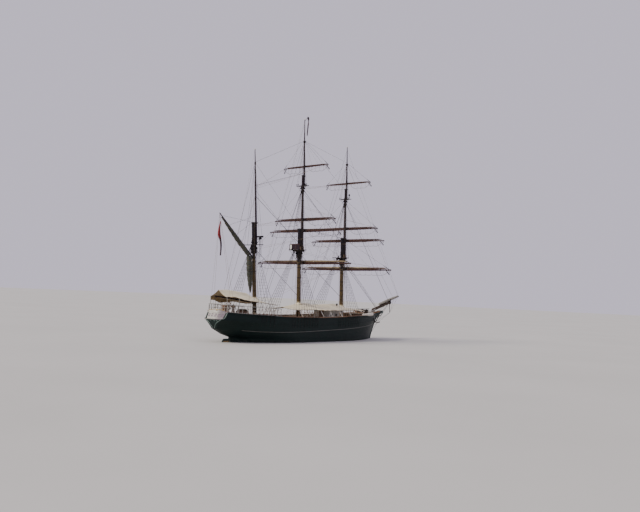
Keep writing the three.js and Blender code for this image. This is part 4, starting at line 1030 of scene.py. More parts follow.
def anchor(bm, ring, side):
    """A stocked anchor that hangs by its ring against the bow."""
    crown = ring + Vector((-0.55, -side * 0.3, -1.25))
    turn = facing(ring, crown)
    flat = turn.to_3x3().to_4x4()
    length = (crown - ring).length

    def at(x, y, z):
        return turn @ Vector((x, y, z))

    rod(bm, at(0, 0, 0), crown, 0.055, 0.08, material=1)
    for way in (-1, 1):
        rod(bm, at(way * 0.02, 0, 0.2), at(way * 0.75, 0, 0.2), 0.05, 0.03, material=1)
        ball(bm, at(way * 0.76, 0, 0.2), (0.055,) * 3, material=1)
        angles = (0, 0.35, 0.7, 1.05, 1.35)
        arm = [at(0, way * 0.62 * sin(a), length - 0.45 + 0.45 * cos(a)) for a in angles]
        pipe(bm, arm, 0.06, material=1)
        ball(bm, arm[-1].lerp(arm[-2], 0.3), (0.16, 0.05, 0.14), flat, material=1)
    ball(bm, at(0, 0, -0.06), (0.09, 0.02, 0.09), flat, 10, 1)


# Masts, each built upright in its own frame and then raked

DATUM = 2.0
Mast = namedtuple("Mast", "x rake top cap crosstrees topmast_cap truck radii hounds")
MASTS = {
    "fore": Mast(9.79, radians(2.4), 12.5, 15.5, 21.64, 23.2, 29.84, (0.3, 0.25), 27.25),
    "main": Mast(-0.05, radians(2.9), 12.96, 15.95, 22.28, 23.75, 31.97, (0.31, 0.26), 28.9),
    "mizzen": Mast(-8.81, radians(4.9), 12.95, 15.89, None, None, 25.78, (0.27, 0.21), 24.1),
}
TOPMAST_OFFSET, TOPMAST_RADII = 0.62, (0.19, 0.14)
TOPGALLANT_OFFSET, TOPGALLANT_RADII = 0.92, (0.12, 0.05)
MIZZEN_OFFSET, MIZZEN_RADII = 0.48, (0.14, 0.05)
MASTHEAD = 0.18


def raked(mast):
    """From a mast's own upright frame, with its origin on the axis at the datum, to the ship."""
    return Matrix.Translation((mast.x, 0, DATUM)) @ Matrix.Rotation(-mast.rake, 4, "Y")


def up(mast, z):
    return (z - DATUM) / cos(mast.rake)


def on_mast(name, z, forward=0.0, side=0.0):
    """A point of the ship on a mast, at a height, forward of its lower axis and to one side."""
    mast = MASTS[name]
    return raked(mast) @ Vector((forward, side, up(mast, z)))


def bands(bm, forward, heights, radius, thick=0.018):
    """Iron hoops shrunk round a mast."""
    for z in heights:
        rod(bm, (forward, 0, z - 0.05), (forward, 0, z + 0.05), radius + thick, sides=20, material=1)


def lean(bm, mast):
    """Puts a shape made in a mast's own upright frame where the mast stands."""
    bmesh.ops.transform(bm, matrix=raked(mast), verts=bm.verts)


def build_lower_masts():
    for name, mast in MASTS.items():
        bm = bmesh.new()
        deck = up(mast, height_at(RAIL if name == "mizzen" else DECK, mast.x))
        foot, seat, cap = deck + 0.01, up(mast, mast.top), up(mast, mast.cap)
        head = cap + 0.12
        low, high = mast.radii
        dark = seat - 1.7  # the mast is black from here up
        shaft = [(0, low * 1.02), (0.35, low * 1.03), (0.7, low * 0.96), (1, high * 1.02)]
        turned(bm, (0, 0, foot), (0, 0, dark), shaft, 24)
        turned(bm, (0, 0, dark), (0, 0, seat), [(0, high * 1.02), (1, high)], 24, 3)
        turned(
            bm, (0, 0, foot), (0, 0, foot + 0.34),
            [(0, 0.42), (0.25, 0.4), (0.7, low + 0.04), (1, low + 0.015)], 20, 2,
        )
        bands(bm, 0, (foot + 0.33,), low)
        hoops = [foot + (seat - foot) * share for share in (0.2, 0.34, 0.48, 0.62, 0.76, 0.88)]
        bands(bm, 0, hoops, low * 0.98, 0.012)
        block(bm, (-MASTHEAD, -MASTHEAD, seat - 0.1), (MASTHEAD, MASTHEAD, head), 0.03, 3)
        hoop = MASTHEAD + 0.012
        for share in (0.3, 0.55, 0.8):
            z = seat + (head - seat) * share
            block(bm, (-hoop, -hoop, z - 0.04), (hoop, hoop, z + 0.04), 0.01, 1)
        under = seat - 0.06
        turned(
            bm, (0, 0, under - 0.3), (0, 0, under), [(0, high), (0.5, high + 0.05), (1, high + 0.14)], 20, 3
        )
        for cheek in (-high - 0.02, high + 0.02):
            block(bm, (-0.3, cheek - 0.05, under - 1.1), (0.3, cheek + 0.05, under), 0.03, 3)
        reach = TOPMAST_OFFSET + 0.27 if mast.crosstrees else MIZZEN_OFFSET + 0.2
        block(bm, (-0.24, -0.21, cap - 0.09), (reach, 0.21, cap + 0.09), 0.03, 1)
        if mast.crosstrees:
            crane(bm, mast, next(yard for yard in YARDS if yard.mast == name and yard.sail == "course"))
            rod(bm, (0, 0, deck + 1.1), (0, 0, deck + 1.2), low + 0.12, sides=24, material=1)
        else:
            for inner, z in (BOOM.inner, GAFF.inner):
                seat = z - 0.18
                block(bm, (inner, -0.05, seat - 0.1), (0, 0.05, seat - 0.02), 0.01, 1)
                rod(bm, (inner, 0, seat - 0.12), (inner, 0, seat), 0.08, sides=14, material=1)
                rod(bm, (0, 0, seat - 0.16), (0, 0, seat + 0.1), low + 0.012, sides=24, material=1)
        lean(bm, mast)
        made = piece(f"{name}_mast", bm, [BUFF, IRON, AWNING_TOP, MASTHEAD_BLACK])
        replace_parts(made, f"{name}_lower_mast")


def pin_radius(yard):
    """Of the pin that a yard swings on: the two course yards' are thicker."""
    return 0.07 if yard.sail == "course" else 0.045


def crane(bm, mast, yard):
    """The iron crane and pin that a yard swings on."""
    top = up(mast, yard.z) - 0.02
    pin = pin_radius(yard)
    block(bm, (yard.own, -0.04, top - 0.16), (yard.pin, 0.04, top - 0.08), 0.008, 1)
    rod(bm, (yard.pin, 0, top - 0.18), (yard.pin, 0, top), pin, sides=14, material=1)
    radius = {0: mast.radii[1] + 0.03, TOPMAST_OFFSET: 0.185, TOPGALLANT_OFFSET: 0.1}[yard.own]
    rod(bm, (yard.own, 0, top - 0.2), (yard.own, 0, top - 0.04), radius, sides=20, material=1)


def build_upper_masts():
    for name, mast in MASTS.items():
        if mast.crosstrees:
            bm = bmesh.new()
            foot, head = up(mast, mast.top) + 0.06, up(mast, mast.topmast_cap) + 0.1
            (low, high), at = TOPMAST_RADII, TOPMAST_OFFSET
            turned(
                bm, (at, 0, foot), (at, 0, head), [(0, low), (0.3, low), (0.8, high * 1.05), (1, high)], 22
            )
            block(bm, (at - low, -low, foot), (at + low, low, foot + 0.5), 0.03)
            trees = up(mast, mast.crosstrees) - 0.06
            turned(
                bm, (at, 0, trees - 0.8), (at, 0, trees), [(0, high), (0.6, high + 0.05), (1, high + 0.12)],
                20,
            )
            bands(bm, at, [foot + (head - foot) * share for share in (0.36, 0.5, 0.66)], low * 0.92)
            cap = up(mast, mast.topmast_cap)
            block(bm, (at - 0.14, -0.15, cap - 0.08), (TOPGALLANT_OFFSET + 0.17, 0.15, cap + 0.08), 0.02, 1)
            for yard in YARDS:
                if yard.mast == name and yard.sail.endswith("topsail"):
                    crane(bm, mast, yard)
            lean(bm, mast)
            made = piece(f"{name}_topmast_spar", bm, [MAST_WOOD, IRON])
            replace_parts(made, f"{name}_topmast")
            at, under, (low, high) = TOPGALLANT_OFFSET, mast.crosstrees, TOPGALLANT_RADII
            node = f"{name}_topgallant_mast"
        else:
            at, under, (low, high) = MIZZEN_OFFSET, mast.top, MIZZEN_RADII
            node = "mizzen_topmast"
        bm = bmesh.new()
        foot, head = up(mast, under) + 0.06, up(mast, mast.truck)
        turned(
            bm, (at, 0, foot), (at, 0, head), [(0, low), (0.35, low * 0.97), (0.7, low * 0.72), (1, high)], 20
        )
        hounds = up(mast, mast.hounds)
        knob = 0.2 if mast.crosstrees else 0.12
        turned(
            bm, (at, 0, hounds - 0.4), (at, 0, hounds), [(0, 0.07), (0.4, knob), (0.85, knob), (1, 0.09)], 16,
            1,
        )
        turned(
            bm, (at, 0, head - 0.02), (at, 0, head + 0.1), [(0, 0.05), (0.25, 0.11), (0.7, 0.11), (1, 0.05)],
            16, 2,
        )
        for yard in YARDS:
            if yard.mast == name and yard.sail == "topgallant":
                crane(bm, mast, yard)
        lean(bm, mast)
        made = piece(f"{node}_spar", bm, [MAST_WOOD, IRON, WHITE])
        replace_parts(made, node)


# Yards with their furled sails

Yard = namedtuple("Yard", "mast sail z half offset pin own radius roll")
YARDS = [Yard(*values) for values in (
    ("fore", "course", 10.71, 8.81, 0.65, 0.37, 0, 0.18, 0.15),
    ("fore", "lower_topsail", 15.11, 7.16, 1.12, 0.9, 0.62, 0.15, 0.115),
    ("fore", "upper_topsail", 16.99, 5.99, 1.07, 0.86, 0.62, 0.14, 0.115),
    ("fore", "topgallant", 24.11, 4.42, 1.22, 1.07, 0.92, 0.1, 0.075),
    ("main", "course", 11.07, 9.0, 0.65, 0.38, 0, 0.18, 0.15),
    ("main", "lower_topsail", 15.72, 6.97, 1.12, 0.9, 0.62, 0.15, 0.115),
    ("main", "upper_topsail", 17.33, 5.91, 1.07, 0.86, 0.62, 0.14, 0.115),
    ("main", "topgallant", 25.11, 4.34, 1.22, 1.07, 0.92, 0.1, 0.075),
)]


def wrinkle(place, scale):
    return noise.noise(Vector(place) * scale)


CREASES, ROLL_SIDES = 7, 18
GASKET = 0.012  # the radius of a gasket's line


def furled(bm, axis_point, cross, along, radii, seed, count=60):
    """A sail rolled along a spar: it swells between its gaskets and is creased lengthwise.
    axis_point gives the roll's middle for a share of its length, and radii its radius."""
    rings = []
    right, over = cross
    gaskets = max(2, round(along / 0.75))
    for t in shares(0, 1, count):
        middle = axis_point(t)
        pinch = abs(sin(pi * gaskets * t)) ** 0.5
        radius = max(0.012, radii(t)) * (0.86 + 0.2 * pinch)
        ring = []
        for i in range(ROLL_SIDES):
            a = tau * i / ROLL_SIDES
            crease = 0.07 * sin(CREASES * a + 3.0 * wrinkle((t * 3, seed, 0), 1.0))
            lump = 0.16 * wrinkle((cos(a) + seed, sin(a), t * along * 0.9), 1.3)
            r = radius * (1 + (crease + lump) * (0.4 + 0.6 * pinch))
            ring.append(middle + right * (r * cos(a)) + over * (r * sin(a)))
        rings.append(ring)
    skin(bm, rings)
    return gaskets


def build_yards():
    for number, yard in enumerate(YARDS):
        build_yard(yard, number)


def build_yard(yard, number):
    """A yard with its footropes, and its sail rolled on top of it under gaskets."""
    mast, half, height = MASTS[yard.mast], yard.half, up(MASTS[yard.mast], yard.z)
    body = f"{yard.mast}_{yard.sail}"
    at, radius = yard.offset, yard.radius
    turn, square = raked(mast), raked(mast).to_3x3()
    bm = bmesh.new()
    turned(bm, (at, -half, height), (at, half, height), [
        (0, radius * 0.42), (0.06, radius * 0.52), (0.2, radius * 0.8), (0.4, radius), (0.6, radius),
        (0.8, radius * 0.8), (0.94, radius * 0.52), (1, radius * 0.42),
    ], 18)
    for share in (0.07, 0.3, 0.55, 0.78, 0.95, 0.985):
        hoop = radius * (1.03 - 0.5 * share * share) + 0.012
        for y in (-share * half, share * half):
            rod(bm, (at, y - 0.035, height), (at, y + 0.035, height), hoop, sides=18, material=1)
    pin = pin_radius(yard)
    block(bm, (yard.pin, -pin, height - 0.02), (at, pin, height + 0.08), 0.008, 1)
    rod(bm, (yard.pin, 0, height - 0.0192), (yard.pin, 0, height + 0.08), pin, sides=14, material=1)
    jackstay = [
        Vector((at - 0.02, share * half, height + radius * (1.06 - 0.5 * share * share) + 0.03))
        for share in shares(-0.94, 0.94, 24)
    ]
    routes = [(0.014, jackstay)]
    for side in (-1, 1):
        routes += footropes(yard, height, side)
        inner = Vector((at + 0.05, side * half * 0.9, height - radius * 0.5))
        purchase = inner + Vector((0.1, side * 0.42, -0.52))
        rod(bm, inner, purchase, 0.055, 0.045, material=1)
        ball(bm, purchase, (0.08, 0.07, 0.13), material=1)
        for share in (0.16, 0.97):
            block_at = Vector((at, side * share * half, height - radius - 0.1))
            ball(bm, block_at, (0.045, 0.03, 0.08), material=2)
            ball(bm, block_at + UP * 0.11, (0.02, 0.02, 0.04), material=1)
    lean(bm, mast)
    made = piece(f"{body}_yard_spar", bm, [YARD_WOOD, IRON, TEAK], body)
    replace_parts(made, f"{body}_yard")
    routes = [(thick, [turn @ point for point in points]) for thick, points in routes]
    lines(f"{body}_footropes", routes, TAR, body)
    bm = bmesh.new()
    reach = half * 0.93
    lift = height + radius + yard.roll * 0.55

    def thickness(t):
        fullness = 0.55 + 0.5 * sin(pi * t) ** 0.8
        return yard.roll * fullness * min(1.0, 14 * min(t, 1 - t) + 0.25)

    def middle(t):
        return turn @ Vector((at + 0.1, (2 * t - 1) * reach, lift + 0.02 * wrinkle((t * 9, number, 0), 1.0)))

    cross = square @ Vector((1, 0, 0)), square @ UP
    gaskets = furled(bm, middle, cross, 2 * reach, thickness, number * 7.3, count=120)
    cloth = COURSE_CLOTH[yard.mast] if yard.sail == "course" else TOPSAIL_CLOTH
    roll = piece(f"{body}_furled_sail", bm, cloth, body, 60)
    ties = []
    for t in (k / gaskets for k in range(1, gaskets)):
        centre = turn @ Vector((at + 0.06, (2 * t - 1) * reach, height + radius * 0.4 + yard.roll * 0.25))
        size = radius * (1 - 0.5 * (2 * t - 1) ** 2) * 0.62 + thickness(t) * 0.86 + 0.03
        ties.append((GASKET, loop(centre, size, square @ ACROSS, 12, 1.12), True))
    lines(f"{body}_gaskets", ties, MANILA, body)


def footropes(yard, height, side):
    """The ropes under one half of a yard, that the crew stands on, and the stirrups that hold them up."""
    at, half = yard.offset, yard.half
    stirrups = 7 if half > 6.5 else 5
    routes, hung = [], []
    for k in range(stirrups + 1):
        y = side * (0.1 + 0.86 * k / stirrups) * half
        hung.append(Vector((at, y, height - (0.12 if k in (0, stirrups) else 0.75))))
        if 0 < k < stirrups:
            routes.append((0.011, [Vector((at, y, height)), hung[-1]]))
    for start, end in zip(hung, hung[1:]):
        routes.append((0.016, hanging(start, end, 0.08, 7)))
    start, end = Vector((at - 0.05, side * half * 0.9, height - 0.1)), Vector(
        (at - 0.05, side * half, height - 0.03)
    )
    return [*routes, (0.014, hanging(start, end, 0.5, 9))]


# The spanker's gear

Spar = namedtuple("Spar", "inner outer radius")
BOOM = Spar((-0.42, 3.35), (-7.03, 4.52), 0.12)
GAFF = Spar((-0.42, 9.5), (-5.98, 15.09), 0.1)


def spar_end(point):
    """A spar's end, x and z in the mizzen's own frame, as a place on the ship's middle line."""
    return Vector((point[0], 0, point[1]))


def build_spanker():
    """The boom and gaff, and the spanker brailed up along the gaff and the mast."""
    mizzen = MASTS["mizzen"]
    turn, square = raked(mizzen), raked(mizzen).to_3x3()
    for name, spar, body in (("spanker_boom", BOOM, "boom"), ("spanker_gaff", GAFF, "gaff")):
        bm = bmesh.new()
        start, end, radius = spar_end(spar.inner), spar_end(spar.outer), spar.radius
        shaft = [(0, radius * 0.9), (0.1, radius), (0.5, radius), (0.8, radius * 0.8), (1, radius * 0.6)]
        turned(bm, start, end, shaft, 18)
        rod(bm, start - UP * 0.1792, start + UP * 0.1, 0.08, sides=14, material=1)
        for share in (0.05, 0.35, 0.62, 0.9, 0.985):
            centre, way = start.lerp(end, share), (end - start).normalized() * 0.035
            rod(
                bm, centre - way, centre + way, radius * (1.02 - 0.4 * share * share) + 0.014, sides=18,
                material=1,
            )
        ball(bm, end, (radius * 0.62,) * 3, material=1)
        lean(bm, mizzen)
        made = piece(f"{name}_spar", bm, [MAST_WOOD, IRON], body)
        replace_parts(made, name)
    bm = bmesh.new()
    slope = spar_end(GAFF.outer) - spar_end(GAFF.inner)
    under = spar_end(GAFF.inner) - Vector((0.21, 0, 0.21))
    lifted = slope.cross(ACROSS).normalized()
    lifted *= copysign(1, lifted.z)
    luff, fall = Vector((-0.9, 0, 9.55)), Vector((0.14, 0, -5.0))

    def along_gaff(t, bow=0.17, rise=0.0):
        return turn @ (under + slope * (0.06 + 0.87 * t) + lifted * (rise + bow * t * t))

    def head_radius(t):
        return 0.17 + 0.12 * sin(pi * min(1.0, 0.12 + t)) ** 0.7 - 0.09 * t * t

    def along_mast(t):
        return turn @ (luff + fall * t)

    def luff_radius(t):
        return 0.12 + 0.28 * sin(pi * min(1.0, 0.15 + 0.85 * t)) ** 0.6 - 0.1 * t * t

    furled(bm, along_gaff, (square @ ACROSS, square @ lifted), 6.3, head_radius, 91.0, count=80)
    furled(bm, along_mast, (square @ Vector((1, 0, 0)), ACROSS), 5.0, luff_radius, 47.0, count=80)
    roll = piece("brailed_spanker", bm, GAFF_CLOTH, "gaff", 60)
    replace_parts(roll, "spanker")
    ties = [
        (GASKET, loop(along_gaff(t, 0.14, 0.06), head_radius(t) + 0.07, square @ slope, 14), True)
        for t in shares(0.06, 0.94, 9)
    ]
    ties += [
        (GASKET, loop(along_mast(t), luff_radius(t) + 0.015, square @ fall, 14), True)
        for t in shares(0.12, 0.95, 6)
    ]
    lines("spanker_gaskets", ties, MANILA, "gaff")


def folded(bm, count, across, row):
    """Hanging cloth. For a share of its height, row gives its middle, its width and the folds' shifts."""
    rings = []
    for t in shares(0, 1, count):
        middle, width, shift = row(t)
        rings.append([
            middle + Vector((width * (i / across - 0.5) + shift(i)[0], shift(i)[1], 0))
            for i in range(across + 1)
        ])
    skin(bm, rings, closed=False)


ENSIGN_TOP, ENSIGN_HOIST = Vector((-15.85, 0.02, 15.5)), 4.4
ENSIGN_WIDTHS = [(0.0, 0.1), (0.15, 0.22), (0.38, 0.42), (0.47, 0.38), (0.56, 0.19), (1.0, 0.15)]
ENSIGN_LEANS = [(0.0, 0.0), (0.38, -0.08), (0.6, 0.2), (1.0, 0.32)]
PENNANT_WIDTHS = [(0.0, 0.3), (0.1, 0.42), (0.2, 0.12), (0.32, 0.16), (0.45, 0.27), (0.8, 0.22), (1.0, 0.1)]


def build_flags():
    """The ensign hanging in folds from the gaff's peak, and the long pennant at the main truck."""
    def ensign_row(t):
        lean_at, width = smooth_between(ENSIGN_LEANS, t)[0], smooth_between(ENSIGN_WIDTHS, t)[0]
        deep = 0.09 * (0.6 + 0.4 * t)
        return (
            ENSIGN_TOP + Vector((lean_at, 0.05 * sin(7 * t), -ENSIGN_HOIST * t)), width,
            lambda i: (0.02 * sin(9 * t + i), deep * sin(tau * 5 * i / 30 + 2 * t)),
        )

    def pennant_row(t):
        middle = truck + Vector((0.3 + 0.05 * sin(6 * t), -0.38 - 0.06 * sin(4 * t), 0.42 - 2.8 * t))
        width = smooth_between(PENNANT_WIDTHS, t)[0]
        return middle, width, lambda i: (0, 0.05 * sin(tau * 2 * i / 12 + 5 * t))

    bm = bmesh.new()
    folded(bm, 48, 30, ensign_row)
    flag = piece("ensign_bunting", bm, BUNTING, "gaff", 70)
    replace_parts(flag, "ensign")
    peak = raked(MASTS["mizzen"]) @ Vector((-5.85, 0, 14.95))
    halyard = [peak, ENSIGN_TOP + Vector((0.12, 0, 0.1)), ENSIGN_TOP - UP * 0.3]
    lines("ensign_halyard", [(0.01, halyard)], MANILA, "gaff")
    bm = bmesh.new()
    truck = on_mast("main", MASTS["main"].truck, TOPGALLANT_OFFSET)
    folded(bm, 40, 12, pennant_row)
    pennant = piece("main_truck_pennant", bm, PENNANT, "ship", 70)
    staff = [truck - UP * 0.25, truck + Vector((0.3, -0.38, 0.46))]
    lines("pennant_staff", [(0.022, staff)], IRON)


HEADSAIL_HEEL, HEADSAIL_LENGTH = 19.65, 5.4
STAYSAIL_HEEL, STAYSAIL_LENGTH = 10.3, 3.9
STAYSAIL_ROLL = [  # x, height over the rail, radius
    (10.3, 0.13, 0.08), (11.2, 0.13, 0.15), (12.3, 0.1, 0.2), (13.2, 0.07, 0.24), (13.9, 0.06, 0.22),
    (14.2, 0.06, 0.1),
]


def build_headsails():
    """The headsail furled along the jib-boom, and the staysail stowed outside the starboard rail."""
    def along_boom(t, lift=0.46):
        return bowsprit_point(HEADSAIL_HEEL + HEADSAIL_LENGTH * t, lift)

    def boom_roll(t):
        return along_boom(t, 0.49 + 0.015 * wrinkle((t * 8, 3, 0), 1.0))

    def boom_radius(t):
        return 0.08 + 0.115 * sin(pi * min(1.0, 0.16 + 0.84 * t)) ** 0.7

    def along_rail(t):
        x = STAYSAIL_HEEL + STAYSAIL_LENGTH * t
        rise, radius = smooth_between(STAYSAIL_ROLL, x)
        return Vector((x, -breadth_at(RAIL, x) - 0.85 * radius, height_at(RAIL, x) + rise))

    def rail_radius(t):
        return smooth_between(STAYSAIL_ROLL, STAYSAIL_HEEL + STAYSAIL_LENGTH * t)[1]

    bm = bmesh.new()
    furled(bm, boom_roll, (ACROSS, UP), 5.6, boom_radius, 12.0, count=80)
    roll = piece("furled_headsail", bm, HEADSAIL_CLOTH, "ship", 60)
    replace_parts(roll, "headsail")
    bm = bmesh.new()
    furled(bm, along_rail, (ACROSS, UP), 3.9, rail_radius, 33.0)
    roll = piece("stowed_staysail", bm, SAILCLOTH_PALE, "ship", 60)
    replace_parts(roll, "staysail")
    ties = [
        (GASKET, loop(along_boom(t), boom_radius(t) + 0.05, (1, 0, 0.28), 14), True)
        for t in shares(0.08, 0.94, 7)
    ]
    ties += [
        (GASKET, loop(along_rail(t), rail_radius(t) + 0.012, (1, 0.1, 0.05), 14), True)
        for t in shares(0.12, 0.88, 4)
    ]
    lines("headsail_gaskets", ties, MANILA)


# Bowsprit and jib-boom

BOWSPRIT = {"heel": (18.0, 4.59), "slope": 0.28, "cap": 22.7, "radius": 0.25}
JIBBOOM = {"heel": 19.9, "end": 25.33, "radius": 0.12, "lift": 0.36}


def bowsprit_point(x, lift=0.0):
    heel, slope = BOWSPRIT["heel"], BOWSPRIT["slope"]
    return Vector((x, 0, heel[1] + slope * (x - heel[0]) + lift))


STRIKER_TIP = bowsprit_point(BOWSPRIT["cap"], -0.25) + Vector((0.15, 0, -1.5))


def build_bowsprit():
    """The bowsprit, the jib-boom over it, and the dolphin striker under its cap."""
    bm = bmesh.new()
    radius, cap = BOWSPRIT["radius"], BOWSPRIT["cap"]
    heel = bowsprit_point(BOWSPRIT["heel"][0])
    turned(bm, heel, bowsprit_point(cap), [(0, radius), (0.5, radius * 0.95), (1, radius * 0.75)], 22)
    block(bm, (17.85, -0.2, height_at(RAIL, 18.2) - 0.05), (18.4, 0.2, 4.62), 0.02)
    z = bowsprit_point(cap).z
    block(bm, (cap - 0.12, -0.24, z - 0.3), (cap + 0.12, 0.24, z + JIBBOOM["lift"] + 0.22), 0.03, 1)
    way = (bowsprit_point(1.0) - bowsprit_point(0.0)).normalized() * 0.05
    for x in (18.9, 19.8, 20.8, 21.8):
        rod(bm, bowsprit_point(x) - way, bowsprit_point(x) + way, radius * 0.97, sides=22, material=1)
    made = piece("bowsprit_spar", bm, [BROWN_SPAR, IRON])
    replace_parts(made, "bowsprit")
    bm = bmesh.new()
    start, end = (bowsprit_point(JIBBOOM[key], JIBBOOM["lift"]) for key in ("heel", "end"))
    radius, tip = JIBBOOM["radius"], start.lerp(end, 0.9)
    turned(bm, start, tip, [(0, radius), (0.7, radius), (1, radius * 0.8)], 20)
    turned(bm, tip, end, [(0, radius * 0.8), (1, radius * 0.7)], 20, 3)
    way = (end - start).normalized() * 0.04
    for centre in (start.lerp(end, 0.03), start.lerp(end, 0.97)):
        rod(bm, centre - way, centre + way, radius + 0.012, sides=20, material=1)
    rod(bm, bowsprit_point(cap, -0.25), STRIKER_TIP, 0.06, 0.04, 12, 2)
    # the end's RAIL_WHITE is the white dimmed as painted shade
    made = piece("jibboom_spar", bm, [BROWN_SPAR, IRON, MAST_WOOD, RAIL_WHITE])
    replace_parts(made, "jibboom")


# Awnings

class Awning:
    """A sheet over a ridge rope: rows of x, half-width, edge height and ridge height, the places of its
    posts, and how far a curtain hangs from its port edge."""

    def __init__(self, name, rows, posts, valance=0.0):
        self.name, self.rows, self.posts, self.valance = name, rows, posts, valance

    def at(self, x):
        """Its half-width, edge height and ridge height, run straight from row to row."""
        i = next((k for k in range(1, len(self.rows)) if self.rows[k][0] >= x), len(self.rows) - 1)
        before, after = self.rows[i - 1], self.rows[i]
        share = (x - before[0]) / (after[0] - before[0])
        return [start + (end - start) * share for start, end in zip(before[1:], after[1:])]

    def surface(self, x, across):
        """A point of the cloth, which sags between ridge and edge and is scalloped between the posts."""
        half, edge, ridge = self.at(x)
        stops = sorted({self.rows[0][0], *self.posts, self.rows[-1][0]})
        i = max(k for k in range(len(stops) - 1) if stops[k] <= x + 1e-9) if x < stops[-1] else len(stops) - 2
        span = stops[i + 1] - stops[i]
        share = (x - stops[i]) / span
        scallop = 4 * share * (1 - share) * min(1.0, span / 2.0)
        u = abs(across)
        slack = u * u
        y = across * (half - 0.16 * scallop * slack)
        z = ridge + (edge - ridge) * u - 0.09 * (ridge - edge + 0.4) * sin(pi * u) - 0.02 * scallop * (1 - u)
        z += 0.05 * scallop * slack + 0.018 * sin(pi * 4 * share) * u
        ripple = 0.014 * wrinkle((x * 1.1, y * 1.1, 0), 1.6) * (0.3 + u)
        return Vector((x, y, z + ripple))

    def curtain(self, x, share):
        """The flap that hangs from the port edge, let down less towards its fore end."""
        first, last = self.rows[0][0], self.rows[-1][0]
        drop = self.valance * max(0.12, min(1.0, 1.9 - 2.6 * (x - first) / (last - first))) * share
        return self.surface(x, 1.0) + Vector(
            (0.02 * wrinkle((x, 0, share), 3.0), 0.05 * sin(9 * x) * share, -drop)
        )


POOP_AWNING = Awning("poop_awning", [
    (-15.6, 1.5, 5.85, 6.7), (-14.3, 2.2, 5.8, 6.78), (-13.2, 2.65, 5.5, 6.7), (-11.9, 2.95, 5.36, 6.57),
    (-10.7, 3.05, 5.28, 6.44), (-9.6, 3.05, 5.16, 6.0), (-7.7, 3.05, 4.97, 5.38),
], (-15.45, -14.0, -12.4, -10.8, -9.0), 0.5)
MAIN_AWNING = Awning("main_awning", [
    (-3.6, 3.1, 4.4, 4.7), (-2.0, 3.15, 4.42, 5.0), (-0.5, 3.15, 4.45, 5.28), (1.1, 3.15, 4.45, 5.36),
    (1.95, 3.15, 4.42, 5.3),
], (-3.3, -1.6, 1.2))
FORE_AWNING = Awning("fore_awning", [
    (2.05, 3.15, 4.42, 5.2), (3.4, 3.15, 4.42, 5.18), (5.8, 3.15, 4.45, 5.3), (7.7, 3.1, 4.5, 5.41),
    (9.4, 2.95, 4.5, 5.14), (10.6, 2.8, 4.45, 4.85), (14.0, 2.1, 4.4, 4.67),
], (3.2, 5.4, 7.6, 11.6))


def build_awnings():
    for awning, mast in ((POOP_AWNING, "mizzen"), (MAIN_AWNING, "main"), (FORE_AWNING, "fore")):
        build_awning(awning)
        collar(awning, mast)


POOP_RAIL_FROM = -7.5  # aft of this the awnings' edges are tied down to the poop's rail


def build_awning(awning):
    """An awning's cloth, the rope round its edge, its ridge rope and battens, and the ties to the rail."""
    first, last = awning.rows[0][0], awning.rows[-1][0]
    run = shares(first, last, round((last - first) / 0.12))
    across = [copysign(abs(u) ** 0.9, u) for u in shares(-1, 1, 48)]
    rings = [[awning.surface(x, u) for u in across] for x in run]
    if awning.valance:
        for ring, x in zip(rings, run):
            ring += [awning.curtain(x, share) for share in (0.25, 0.5, 0.75, 1.0)]
    bm = bmesh.new()
    skin(bm, rings, closed=False)
    bmesh.ops.recalc_face_normals(bm, faces=bm.faces)
    if sum(face.normal.z for face in bm.faces) < 0:
        bmesh.ops.reverse_faces(bm, faces=bm.faces)
    # the underside takes AWNING_UNDER, whose ochre is painted shade and glow
    made = piece(f"{awning.name}_cloth", bm, [AWNING_TOP, AWNING_UNDER], smooth=180)
    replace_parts(made, awning.name)
    thick = made.modifiers.new("thickness", "SOLIDIFY")
    thick.thickness, thick.offset, thick.material_offset, thick.material_offset_rim = 0.006, -1.0, 1, 0

    def rope(radius, places, sunk):
        return radius, [awning.surface(x, u) - UP * sunk for x, u in places]

    edges = [rope(0.022, [(x, side) for x in run], 0.01) for side in (-1, 1)]
    edges += [rope(0.022, [(x, u) for u in across], 0.01) for x in (first, last)]
    edges.append(rope(0.03, [(x, 0.0) for x in shares(first, last, 20)], 0.05))
    for x in shares(first + 0.35, last - 0.35, round((last - first) / 0.7)):
        for side in (-1, 1):
            over_rail = 0.95 if x < POOP_RAIL_FROM else 0.07
            rail = Vector((x + 0.05, side * (breadth_at(RAIL, x) - 0.02), height_at(RAIL, x) + over_rail))
            edges.append((0.007, hanging(awning.surface(x, side), rail, 0.03, 4)))
    edges += [rope(0.016, [(x, u) for u in shares(-0.97, 0.97, 20)], 0.035) for x in awning.posts]
    lines(f"{awning.name}_bolt_ropes", edges, MANILA)


def collar(awning, mast):
    """The laced cuff of canvas where a mast passes through an awning."""
    centre = on_mast(mast, awning.at(MASTS[mast].x)[2])
    way = raked(MASTS[mast]).to_3x3() @ UP
    bm = bmesh.new()
    cuff = [(0, 0.56), (0.35, 0.39), (0.6, 0.33), (0.8, 0.3), (1, 0.34)]
    turned(bm, centre - way * 0.16, centre + way * 0.24, cuff, 22)
    piece(f"{awning.name}_mast_cuff", bm, AWNING_TOP)


# Standing rigging

def rail_seat(x, side, out=0.16, lift=0.12):
    """Where a shroud's lower deadeye stands, just outside the rail."""
    return Vector((x, side * (breadth_at(RAIL, x) + out), height_at(RAIL, x) + lift))


SHROUD_FEET = {  # where each shroud's foot stands, forward of its mast
    "fore": (-0.3, -0.85, -1.4, -1.95, -2.5, -3.1),
    "main": (-0.3, -0.85, -1.4, -1.95, -2.5, -3.1),
    "mizzen": (0.1, -0.55, -1.2, -1.85, -2.45),
}
SHROUD, RATLINE_STEP = 0.021, 0.4


